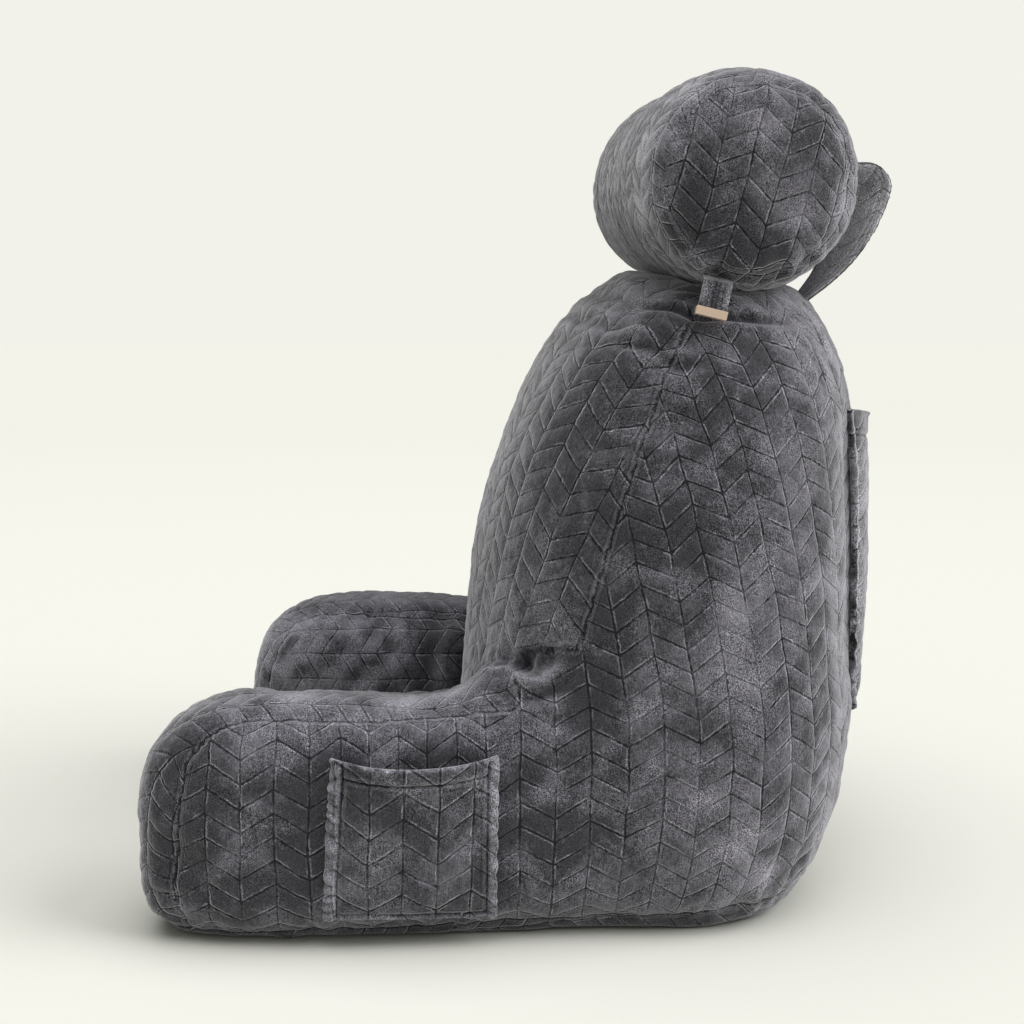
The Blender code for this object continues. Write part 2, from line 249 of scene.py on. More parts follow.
def new_mesh(name, points, faces):
    """A mesh object from arrays of points (n, 3) and quads (m, 4)."""
    mesh = bpy.data.meshes.new(name)
    mesh.vertices.add(len(points))
    mesh.vertices.foreach_set("co", np.asarray(points, dtype=np.float32).ravel())
    mesh.loops.add(faces.size)
    mesh.loops.foreach_set("vertex_index", faces.astype(np.int32).ravel())
    mesh.polygons.add(len(faces))
    starts = np.arange(0, faces.size, faces.shape[1], dtype=np.int32)
    mesh.polygons.foreach_set("loop_start", starts)
    mesh.update(calc_edges=True)
    mesh.validate()
    mesh.shade_smooth()
    return link(bpy.data.objects.new(name, mesh))


def mesh_arrays(mesh):
    """Points (n, 3) and quads (m, 4) of a mesh of quads."""
    points = np.empty(len(mesh.vertices) * 3)
    mesh.vertices.foreach_get("co", points)
    corners = np.empty(len(mesh.loops), dtype=np.int64)
    mesh.loops.foreach_get("vertex_index", corners)
    return points.reshape(-1, 3), corners.reshape(-1, 4)


def set_points(mesh, points):
    """Write the mesh's points back."""
    mesh.vertices.foreach_set("co", points.astype(np.float32).ravel())
    mesh.update()


def set_weave(mesh, u, v):
    """Store the pattern's coordinates, one pair for each face corner, as the UV map."""
    layer = mesh.uv_layers.get("weave") or mesh.uv_layers.new(name="weave")
    layer.uv.foreach_set("vector", np.stack([u, v], axis=1).astype(np.float32).ravel())


def set_attribute(mesh, name, values):
    """Store one number for each point."""
    attribute = mesh.attributes.get(name) or mesh.attributes.new(name, "FLOAT", "POINT")
    attribute.data.foreach_set("value", values.astype(np.float32))


def get_attribute(mesh, name):
    """The stored number of each point."""
    values = np.empty(len(mesh.vertices))
    mesh.attributes[name].data.foreach_get("value", values)
    return values


def point_normals(points, quads):
    """Unit normals at the points: the sum of the cross products of each quad's diagonals."""
    p = points[quads]
    face = np.cross(p[:, 2] - p[:, 0], p[:, 3] - p[:, 1])
    total = np.zeros_like(points)
    for axis in range(3):
        share = np.repeat(face[:, axis], 4)
        total[:, axis] = np.bincount(quads.ravel(), share, len(points))
    return total / np.maximum(lengths(total), 1e-12)[:, None]


def edge_pairs(quads):
    """The four edges of each quad as sorted pairs of point numbers, all first edges first."""
    pairs = np.concatenate([quads[:, [side, (side + 1) % 4]] for side in range(4)])
    return np.sort(pairs, axis=1)


def evaluated(item):
    """A new mesh of the object with its modifiers applied."""
    bpy.context.view_layer.update()
    graph = bpy.context.evaluated_depsgraph_get()
    return bpy.data.meshes.new_from_object(item.evaluated_get(graph))


def apply_modifiers(item):
    """Replace the object's mesh by its evaluated one."""
    mesh = evaluated(item)
    item.modifiers.clear()
    item.data = mesh


def rework(mesh, change):
    """Change a mesh by a function that is given it as a bmesh."""
    work = bmesh.new()
    work.from_mesh(mesh)
    change(work)
    work.to_mesh(mesh)
    work.free()


def merge_points(work):
    """Merge points that share a place."""
    bmesh.ops.remove_doubles(work, verts=work.verts, dist=0.01 * MM)


def fill_rims(work):
    """Close each open ring with one face."""
    bmesh.ops.holes_fill(work, edges=[edge for edge in work.edges if edge.is_boundary])


def turn_outward(work):
    """Turn all faces outwards."""
    bmesh.ops.recalc_face_normals(work, faces=work.faces)


def even_skin(node, name, voxel, rounds):
    """Quads over a CAD node: a merged copy, remeshed on a grid of voxel and smoothed."""
    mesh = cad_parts[node].data.copy()
    rework(mesh, merge_points)
    item = link(bpy.data.objects.new(name, mesh))
    grid = item.modifiers.new("grid", "REMESH")
    grid.mode = "VOXEL"
    grid.voxel_size = voxel
    soften = item.modifiers.new("soften", "SMOOTH")
    soften.factor = 0.5
    soften.iterations = rounds
    apply_modifiers(item)
    return item


def outline_inside(flat, outline):
    """True where flat points (n, 2) lie inside the closed outline, by counting crossings."""
    inside = np.zeros(len(flat), dtype=bool)
    for start, end in zip(outline, np.roll(outline, -1, axis=0)):
        spans = (start[1] > flat[:, 1]) != (end[1] > flat[:, 1])
        rise = (end[1] - start[1]) or 1e-12
        reach = start[0] + (flat[:, 1] - start[1]) / rise * (end[0] - start[0])
        inside ^= spans & (flat[:, 0] < reach)
    return inside


def panel_of(places):
    """Number of the sewn panel that each place on the body belongs to, by the side outlines,
    the crease and the base seam."""
    x, y, z = (places / MM).T
    away = np.abs(x)
    y = np.where((x < 0) & (y < 0), y / (1 - FAR_ARM_SHORTER / ARM_REACH), y)
    flat = np.stack([y, z], axis=1)
    on_arm = (away > CREASE_MM[0, 0]) & (y < np.interp(away, *CREASE_MM.T))
    panel = np.full(len(places), FRONT)
    near = x > 0
    panel[on_arm] = np.where(near, STRIP_NEAR, STRIP_FAR)[on_arm]
    inner = on_arm & outline_inside(flat, INNER_OUTLINE_MM) & (away < SIDE_FROM_X)
    panel[inner] = np.where(near, INNER_NEAR, INNER_FAR)[inner]
    outer = (away > SIDE_FROM_X) | (y > SIDE_FROM_Y)
    panel[outer & outline_inside(flat, SIDE_OUTLINE_MM)] = SIDE
    panel[z < np.interp(y, *BASE_SEAM_MM.T)] = BASE
    return panel


def seam_edges(quads, panel):
    """Edges between faces of different panels."""
    unique, index = np.unique(edge_pairs(quads), axis=0, return_inverse=True)
    index, owner = index.ravel(), np.tile(panel, 4)
    lowest = np.full(len(unique), BASE + 1)
    highest = np.full(len(unique), -1)
    np.minimum.at(lowest, index, owner)
    np.maximum.at(highest, index, owner)
    return unique[lowest != highest]


def straighten(points, edges, rounds):
    """Even out seam lines: each point moves half way to the mean of its seam neighbours."""
    on_line = np.bincount(edges.ravel(), minlength=len(points)) == 2
    for _ in range(rounds):
        mean = np.zeros_like(points)
        for axis in range(3):
            for here, there in (edges.T, edges.T[::-1]):
                mean[:, axis] += np.bincount(here, points[there, axis], len(points))
        mean[on_line] /= 2
        points[on_line] += 0.5 * (mean[on_line] - points[on_line])
    return points


def nearest_on_seam(points, quads, edges, rounds):
    """Distance of each point from the seams and the seam place nearest to it. Each seam point
    knows one seam edge, and nearer edges spread from neighbour to neighbour."""
    count = len(points)
    known = np.full(count, -1)
    known[edges[:, 0]] = known[edges[:, 1]] = np.arange(len(edges))
    start = points[edges[:, 0]]
    along = points[edges[:, 1]] - start
    length = np.maximum((along**2).sum(1), 1e-12)

    def reach(who, edge):
        offset = points[who] - start[edge]
        share = np.clip((offset * along[edge]).sum(1) / length[edge], 0, 1)
        place = start[edge] + share[:, None] * along[edge]
        return lengths(points[who] - place), place

    distance = np.full(count, 1.0)
    place = points.copy()
    pairs = np.unique(edge_pairs(quads), axis=0)
    both = np.concatenate([pairs, pairs[:, ::-1]])
    seeds = np.where(known >= 0)[0]
    distance[seeds], place[seeds] = reach(seeds, known[seeds])
    for _ in range(rounds):
        giver, taker = both[known[both[:, 0]] >= 0].T
        far, where = reach(taker, known[giver])
        order = np.argsort(-far)
        best = np.full(count, -1)
        best[taker[order]] = order
        takers = np.where(best >= 0)[0]
        chosen = best[takers]
        better = far[chosen] < distance[takers] - 1e-9
        takers, chosen = takers[better], chosen[better]
        distance[takers] = far[chosen]
        place[takers] = where[chosen]
        known[takers] = known[giver[chosen]]
    return distance, place


def unit(vectors):
    """The vectors at length 1."""
    return vectors / np.maximum(lengths(vectors), 1e-9)[:, None]


def flattened(vector, normal):
    """Part of the vectors that lies in the surface, at length 1."""
    return unit(vector - normal * (vector * normal).sum(1)[:, None])


def grain(panel, points, normal):
    """Unit directions across and along the columns of each point's panel: upright and leaning
    on the side and front panels, lengthwise inside the arms and on the base, and straight
    across on the arms' tops. Where columns are narrower, across is longer."""
    _, y, z = points.T
    side = panel == SIDE
    lean = np.zeros((len(points), 3))
    lean[:, 2] = 1.0
    low = step_up(0.14 - z, 0.0, 0.12) * step_up(y, -0.10, 0.14)
    side_lean = SIDE_LOW_LEAN * low + SIDE_LEAN * step_up(z, 0.14, 0.24)
    lean[:, 1] = np.where(side, side_lean, FRONT_LEAN)
    lean[panel >= INNER_NEAR] = (0.0, 1.0, 0.0)
    along = flattened(lean, normal)
    across = np.cross(along, normal)
    strip = (panel == STRIP_NEAR) | (panel == STRIP_FAR)
    across[strip] = flattened(np.array([[1.0, 0.0, 0.0]]), normal[strip])
    along[strip] = np.cross(normal[strip], across[strip])
    across[side & (y > NARROW_FROM) & (y < NARROW_TO)] *= NARROWING
    across *= (1 + BACK_NARROWING * step_up(y, -0.01, 0.03) * side)[:, None]
    return across, along


def spread(first, second, rise, start, rounds):
    """Values whose steps over the edges come closest to rise (least squares), worked out from
    start by conjugate gradients on the edges' Laplacian."""
    count = len(start)

    def gathered(step):
        return np.bincount(second, step, count) - np.bincount(first, step, count)

    value = start.copy()
    rest = gathered(rise) - gathered(value[second] - value[first])
    heading = rest.copy()
    size = rest @ rest
    for _ in range(rounds):
        turned = gathered(heading[second] - heading[first])
        move = size / max(heading @ turned, 1e-20)
        value += move * heading
        rest -= move * turned
        fresh = rest @ rest
        heading = rest + fresh / max(size, 1e-20) * heading
        size = fresh
    return value


def lay_pattern(points, quads, panel, rounds=420):
    """Pattern coordinates (m, 4) for each quad's corners: every panel is laid flat by itself,
    its columns following grain(), and set on its anchor."""
    key = panel[:, None] * len(points) + quads
    keys, corner = np.unique(key, return_inverse=True)
    corner = corner.reshape(quads.shape)
    its_panel, who = np.divmod(keys, len(points))
    place = points[who]
    across, along = grain(its_panel, place, point_normals(points, quads)[who])
    first, second = np.unique(edge_pairs(corner), axis=0).T
    step = place[second] - place[first]
    coordinates = []
    for heading in (across, along):
        rise = (0.5 * (heading[first] + heading[second]) * step).sum(1)
        coordinates.append(spread(first, second, rise, (place * heading).sum(1), rounds))
    u, v = coordinates
    for number, (anchor, line) in enumerate(PANEL_ANCHORS):
        own = np.where(its_panel == number)[0]
        offset = place[own] - np.array(anchor) * MM
        nearest = own[np.argmin((offset**2).sum(1))]
        back = ((np.array(anchor) * MM - place[nearest]) * across[nearest]).sum()
        u[own] += line * COLUMN - (u[nearest] + back)
    u += WOBBLE * waves(place, WOBBLE_LENGTH, 11)
    v += WOBBLE * waves(place, WOBBLE_LENGTH, 12)
    return (u / COLUMN)[corner], (v / CELL)[corner]


def path_place(points, path):
    """Distance of each point from a path of points, and its share of the way along it."""
    best = np.full(len(points), 9.0)
    share = np.zeros(len(points))
    steps = lengths(np.diff(path, axis=0))
    done = 0.0
    for start, end, length in zip(path[:-1], path[1:], steps):
        along = (end - start) / length
        reach = np.clip((points - start) @ along, 0.0, length)
        distance = lengths(points - start - reach[:, None] * along)
        nearer = distance < best
        best[nearer] = distance[nearer]
        share[nearer] = (done + reach[nearer]) / steps.sum()
        done += length
    return best, share


# Folds pressed into the body, in mm: depth and width of the trough, height of its lips, how
# much painted light it gets (painted shade where negative), and its path. A negative depth is a
# ridge.
FOLDS_MM = (
    # neck, near and far side, under the roll's ends
    (7, 3.4, 2.4, -0.9, ((160, -18, 520), (169, -10, 518), (180, 11, 518), (190, 28, 513),
     (194, 51, 510), (192, 77, 507), (185, 101, 504), (172, 116, 503))),
    (-3.5, 5, 0, 0.7, ((168, 52, 530), (180, 64, 524), (184, 76, 518), (186, 90, 511))),
    (9, 3.8, 2.4, -0.8, ((-150, -24, 521), (-172, -8, 517), (-189, 22, 512), (-196, 50, 507),
     (-192, 80, 504), (-170, 120, 499))),
    (4.6, 4, 1.8, -0.6, ((188, -36, 488), (193, -20, 487), (202, -6, 485), (209, 9, 481))),
    (4.2, 4, 1.2, -0.6, ((211, 0, 474), (213, 12, 472), (215, 25, 471), (214, 40, 476))),
    (-3, 7, 0, 0.3, ((176, -30, 505), (190, -14, 503), (199, 10, 500), (206, 36, 494))),
    (3.4, 4.5, 1.2, -0.4, ((186, -8, 508), (191, -1, 503), (202, 4, 490), (210, 8, 478))),
    (1.6, 14, 0, -0.6, ((196, 20, 505), (205, 45, 492), (208, 71, 486), (202, 96, 482))),
    (3, 6, 1.2, -0.3, ((-192, -30, 487), (-202, -8, 485), (-212, 20, 480))),
    # folds that run from the neck over the front and the back
    (-8, 19, 0, 0, ((-180, -8, 528), (-130, -14, 540), (-60, -16, 547), (0, -16, 548),
     (60, -16, 547), (130, -12, 541), (176, -2, 530))),
    (1.5, 4, 0.8, -1, ((176, -12, 514), (140, -26, 522), (90, -38, 526), (20, -44, 528),
     (-80, -38, 526))),
    (-0.8, 3.5, 0, 1, ((180, -16, 508), (146, -34, 515), (100, -48, 518), (30, -54, 520))),
    (1.4, 4, 0.8, -0.9, ((184, -20, 500), (150, -42, 506), (110, -56, 510), (50, -62, 512),
     (-40, -62, 512))),
    (-0.8, 3.5, 0, 0.9, ((187, -26, 492), (150, -52, 498), (106, -66, 501), (40, -72, 503))),
    (1.2, 4.5, 0.8, -0.7, ((190, -32, 482), (150, -60, 488), (100, -76, 490), (30, -82, 492))),
    (1.4, 4, 0.6, -0.9, ((160, 2, 530), (110, -12, 540), (40, -24, 545))),
    (-0.8, 3.5, 0, 0.9, ((168, -4, 522), (124, -20, 532), (60, -32, 537), (0, -34, 538))),
    (1.4, 4, 0.8, -0.7, ((182, 103, 506), (181, 120, 490), (180, 133, 470), (182, 142, 440))),
    (-0.9, 4, 0, 1, ((172, 110, 512), (168, 128, 494), (167, 143, 470), (171, 151, 436))),
    (1.4, 4, 0.8, -0.7, ((160, 113, 520), (157, 135, 498), (155, 149, 473), (159, 156, 440))),
    (-0.9, 4, 0, 1, ((148, 118, 526), (142, 138, 503), (140, 153, 478), (144, 160, 442))),
    (1.2, 4, 0.8, -0.6, ((134, 124, 530), (126, 142, 508), (124, 156, 484), (128, 164, 450))),
    # pinched hollow between the near arm's top and the front panel
    (5.5, 6.6, 0, 0, ((203, -132, 219), (212, -119, 226), (221, -111, 227), (230, -101, 227))),
    (3.4, 6.6, 0, 0.5, ((222, -110, 227), (234, -95, 227), (239, -82, 233), (245, -70, 240))),
    (4.5, 3.8, 0, -1, ((217, -114, 232), (222, -110, 229), (229, -106, 224))),
    (-7, 5, 0, 1.9, ((198, -150, 210), (210, -138, 214), (219, -119, 220), (232, -112, 216),
     (240, -104, 213), (243, -95, 213), (242, -86, 219), (244, -74, 231))),
    (-4, 4, 0, 0.8, ((198, -134, 219), (211, -120, 228), (214, -114, 235), (220, -107, 240),
     (230, -94, 243), (240, -78, 246), (248, -62, 247))),
    (4.6, 5, 1.5, -0.5, ((240, -112, 207), (246, -104, 205), (249, -91, 207), (248, -76, 218),
     (249, -66, 230))),
    (4, 4, 1, -0.4, ((232, -134, 212), (238, -128, 208), (246, -122, 201),
     (253, -116, 192))),
    (3, 5, 1, -0.3, ((250, -96, 196), (256, -84, 190), (262, -70, 188))),
    (6, 9, 2, -0.4, ((128, -172, 120), (134, -168, 160), (150, -160, 186),
     (176, -146, 204))),
    # far arm, where it meets the front panel
    (9, 9, 2.5, -0.5, ((-128, -176, 60), (-130, -174, 130), (-150, -162, 180),
     (-180, -146, 204), (-207, -122, 222), (-232, -90, 236))),
    (-6, 10, 0, 0.4, ((-126, -196, 100), (-131, -196, 150), (-148, -188, 184))),
    (5, 8, 1.5, -0.4, ((-124, -214, 70), (-129, -216, 120), (-140, -210, 165))),
    (3.5, 8, 1, -0.3, ((-125, -238, 110), (-132, -232, 150), (-146, -224, 180))),
    # where the back pocket's near side wraps round
    (4.5, 20, 0, 0.2, ((158, 186, 440), (160, 190, 330), (160, 194, 240), (156, 196, 160))),
    # both arms sag along their tops
    (11, 46, 0, 0, ((168, -345, 190), (172, -290, 196), (176, -240, 197), (180, -190, 199),
     (182, -140, 206))),
    (9, 40, 0, 0, ((-110, -158, 196), (-160, -154, 202), (-200, -150, 205),
     (-250, -146, 204))),
    # soft dents
    (4, 20, 0, 0, ((216, 138, 62), (192, 160, 58), (150, 176, 58), (60, 190, 60))),
    (2.2, 16, 0.6, -0.2, ((272, -392, 90), (279, -372, 60), (276, -356, 34))),
    (2, 12, 0.6, -0.2, ((262, -366, 160), (268, -352, 140), (276, -340, 120))),
    (2.6, 14, 0.8, -0.2, ((248, 96, 60), (236, 118, 52), (216, 140, 50))),
)

# Where the gathered cloth hides the embossing, in mm: reach and path.
CALM_MM = (
    (13, ((196, -146, 214), (210, -124, 224), (226, -104, 228), (244, -80, 232))),
    (13, ((-196, -146, 214), (-210, -124, 224), (-226, -104, 228))),
    (9, ((150, -24, 521), (182, 8, 515), (196, 52, 508), (183, 104, 503))),
    (9, ((-150, -24, 521), (-189, 22, 512), (-192, 80, 504))),
)

# Where the pile lies lighter (or darker), in mm: how much, reach and path. Most are nap brushed
# another way; the lighter ones on the back part of the near side, where it turns away, are a
# painted sheen, and the darker one where the far arm meets the front panel is nap with painted
# shade.
BRUSHED_MM = (
    (0.9, 24, ((252, 60, 281), (254, 69, 248), (257, 65, 216))),
    (0.7, 20, ((221, 127, 316), (229, 122, 268), (235, 116, 236))),
    (1.1, 26, ((262, 54, 126), (257, 72, 91), (245, 91, 56))),
    (0.5, 20, ((259, -16, 217), (262, -7, 172))),
    (0.6, 28, ((266, -332, 176), (281, -322, 132), (283, -318, 82))),
    (1.5, 26, ((191, 155, 294), (185, 162, 224), (195, 159, 156), (198, 153, 105))),
    (1.4, 22, ((146, 126, 520), (139, 150, 490), (150, 160, 452), (168, 166, 400))),
    (0.9, 24, ((215, -340, 190), (225, -270, 190), (222, -200, 192), (214, -160, 202))),
    (1.3, 38, ((-159, -387, 162), (-141, -334, 130), (-137, -278, 130))),
    (-0.5, 18, ((200, -2, 490), (204, 34, 494), (205, 79, 486))),
    (0.8, 26, ((-158, -395, 150), (-148, -330, 166), (-140, -270, 166), (-138, -235, 164))),
    (-0.7, 22, ((248, -40, 288), (254, -36, 248), (256, -47, 207))),
    (-0.5, 32, ((277, -385, 63), (279, -375, 106), (276, -363, 146))),
    (1.2, 24, ((216, 140, 150), (222, 132, 104), (210, 140, 74))),
    (-0.5, 24, ((266, -104, 144), (266, -99, 102), (263, -79, 76))),
    (-0.6, 18, ((231, 129, 167), (224, 135, 113), (222, 124, 60))),
    (-0.5, 24, ((228, 24, 431), (239, 32, 384), (247, 24, 336))),
    (-0.8, 22, ((-149, -224, 187), (-131, -212, 157), (-126, -218, 125))),
    (-0.6, 60, ((279, -320, 100), (276, -240, 100), (270, -160, 100))),
)

# The body's skin: size of its first quads and rounds of smoothing.
BODY_VOXEL = 5.2 * MM
BODY_ROUNDS = 6

SEAM_PULL = 3.4 * MM
SEAM_PULL_REACH = 15.0 * MM
SEAM_LINE = 1.6 * MM
SEAM_LINE_WIDTH = 2.6 * MM
SEAM_REACH = 6 * MM
PUCKER = 1.1 * MM
PUCKER_REACH = 20.0 * MM


def press_folds(points, normal):
    """Move points in along their normals by each fold's depth * bell(distance, width) and out
    by its lips' height * bell(distance - 2.1 width, width), fading over the last fifth of the
    way at both ends. Each path is first set on the nearest points of the skin. Also gives how
    much lighter the pile is at each point: tone * bell(distance, reach) of every fold, painted
    shade where the tone is negative and painted highlight where it is positive, with painted
    highlight on its lips, and of every brushed path, there made uneven by waves, nap with some
    painted sheen; and painted shade just above the floor."""
    total = np.zeros(len(points))
    lighter = np.zeros(len(points))
    for depth, width, lip, tone, path in FOLDS_MM:
        rows = np.array(path, dtype=float) * MM
        away = lengths(points[None] - rows[:, None])
        path = smooth_rows(points[away.argmin(axis=1)], 6 * len(rows))
        reach = 4 * width * MM + 8 * MM
        near = np.all((points > path.min(0) - reach) & (points < path.max(0) + reach), axis=1)
        who = np.where(near)[0]
        distance, share = path_place(points[who], path)
        fade = step_up(share, -0.02, 0.2) * step_up(1 - share, -0.02, 0.2)
        beside = bell(distance - 2.1 * width * MM, width * MM)
        total[who] += (lip * beside - depth * bell(distance, width * MM)) * fade * MM
        # The fold's tone is painted shade where negative and painted highlight where positive; its
        # lips get a painted highlight.
        lighter[who] += tone * fade * bell(distance, 0.75 * width * MM)
        lighter[who] += 0.14 * lip * fade * beside
    uneven = 1 + 1.3 * waves(points, 34 * MM, 9)
    # Nap brushed another way, with painted sheen on the back part of the near side.
    for tone, reach, path in BRUSHED_MM:
        distance = path_place(points, smooth_rows(path, 12) * MM)[0]
        lighter += tone * bell(distance, reach * MM) * uneven
    # Painted shade along the bottom, just above the floor.
    lighter -= step_up(22 * MM - points[:, 2], 0, 12 * MM)
    return points + normal * total[:, None], np.clip(lighter, -1.5, 1.8)


def make_body():
    """The filled body: an even skin over its solid, cut into sewn panels, with the pull of the
    seams, puckers, folds and, one subdivision finer, the embossed cells. Each part of the move
    is a depth times bell(distance from the seam, reach) or waves, and nothing moves at the
    floor."""
    item = even_skin("body", "plush_body", BODY_VOXEL, BODY_ROUNDS)
    points, quads = mesh_arrays(item.data)
    panel = panel_of(points[quads].mean(axis=1))
    edges = seam_edges(quads, panel)
    points = straighten(points, edges, 6)
    u, v = lay_pattern(points, quads, panel)
    normal = point_normals(points, quads)
    distance, place = nearest_on_seam(points, quads, edges, 12)
    pull = SEAM_PULL * bell(distance, SEAM_PULL_REACH)
    pucker = PUCKER * bell(distance, PUCKER_REACH) * waves(place, 17 * MM, 5) * 2
    soft = 1.5 * MM * waves(points, 120 * MM, 6) + 0.7 * MM * waves(points, 42 * MM, 7)
    move = (SEAM_PULL * 0.35 - pull + pucker + soft) * step_up(points[:, 2], 0.0, 12 * MM)
    points, lighter = press_folds(points + normal * move[:, None], normal)
    points[:, 2] = np.maximum(points[:, 2], 0.0)
    calm = np.zeros(len(points))
    for reach, path in CALM_MM:
        along = path_place(points, smooth_rows(path, 20) * MM)[0]
        calm = np.maximum(calm, bell(along, reach * MM))
    set_points(item.data, points)
    set_weave(item.data, u.ravel(), v.ravel())
    # lighter holds nap, and painted light and shade from the folds and along the floor.
    for name, values in (("nap_and_painted_light", lighter), ("seam", distance), ("calm", calm)):
        set_attribute(item.data, name, values)
    finer = item.modifiers.new("finer", "SUBSURF")
    finer.levels = finer.render_levels = 1
    finer.uv_smooth = "NONE"
    apply_modifiers(item)
    emboss_body(item.data)
    return item


def emboss_body(mesh):
    """Press the embossed cells and the seams' lines into the finer skin, along its normals:
    emboss() away from seams and calm places, less the line's depth * bell(distance, width)."""
    points, quads = mesh_arrays(mesh)
    weave = np.empty(len(mesh.loops) * 2)
    mesh.uv_layers["weave"].uv.foreach_get("vector", weave)
    at_point = np.zeros((len(points), 2))
    at_point[quads.ravel()] = weave.reshape(-1, 2)
    distance, calm = get_attribute(mesh, "seam"), get_attribute(mesh, "calm")
    relief = emboss(*at_point.T) * step_up(distance, 0.0, SEAM_REACH) * (1 - calm)
    relief -= SEAM_LINE * bell(distance, SEAM_LINE_WIDTH)
    relief += 0.25 * MM * waves(points, 9 * MM, 8)
    relief *= step_up(points[:, 2], 0.0, 8 * MM)
    points = points + point_normals(points, quads) * relief[:, None]
    points[:, 2] = np.maximum(points[:, 2], 0.0)
    set_points(mesh, points)
    mesh.shade_smooth()


# Neck roll: its profile, from the middle of an end, (along, radius) in mm, and its place.
ROLL_ROWS_MM = (
    (209, 0), (209, 14), (208, 34), (205, 53), (199, 69), (195, 75), (194, 78), (189, 82),
    (178, 87), (150, 92), (100, 95), (40, 94), (0, 94),
)
ROLL_MIDDLE = (0.0, 0.0655, 0.6345)
ROLL_YAW = math.radians(4.4)
ROLL_TILT = math.radians(4.1)
ROLL_CAP_SEAM = 78 * MM
ROLL_CAP_FROM = 0.18
ROLL_CAP_TURN = math.radians(-13.0)
ROLL_CAP_FULLNESS = 1.06
ROLL_CELLS_ROUND = 32

# Where round the roll, from its back upwards, the pile hides the end seam and where it puckers
# most.
ROLL_HIDDEN_AT = math.radians(150)
ROLL_PUCKERED_AT = math.radians(222)

# Where the roll's pile lies lighter (or darker), in mm: how much, place along the roll,
# backwards and up from its middle, and reach. The lighter ones round the near end's shoulder,
# 150 to 180 mm along, are a painted sheen where the roll curves away; the others are nap brushed
# another way.
ROLL_BRUSHED_MM = (
    (1.3, 150, -78, 30, 44), (1.3, 150, -84, -20, 44), (1, 160, -50, 74, 40),
    (1.2, 180, 84, 10, 36), (1.2, 170, 72, -46, 36), (0.9, 176, 10, 88, 34),
    (-0.7, 206, -54, 6, 34), (-0.6, 200, -58, -40, 28), (-0.7, 204, 42, 44, 22),
    (-0.35, 206, 0, 0, 80), (0.8, 208, 4, 40, 20), (0.8, 208, 26, -24, 28),
    (-0.8, 200, -8, -66, 22),
)


def roll_axes():
    """Unit vectors along the roll, backwards and up."""
    along = np.array([
        math.cos(ROLL_YAW) * math.cos(ROLL_TILT),
        math.sin(ROLL_YAW) * math.cos(ROLL_TILT),
        -math.sin(ROLL_TILT),
    ])
    back = np.cross([0, 0, 1], along)
    back /= np.linalg.norm(back)
    return along, back, np.cross(along, back)


def tube_quads(stations, around):
    """Quads between the rings of a tube: stations rings of around points."""
    grid = np.arange(stations * around).reshape(stations, around)
    beside = np.roll(grid, -1, axis=1)
    return np.stack([grid[:-1], beside[:-1], beside[1:], grid[1:]], axis=-1).reshape(-1, 4)


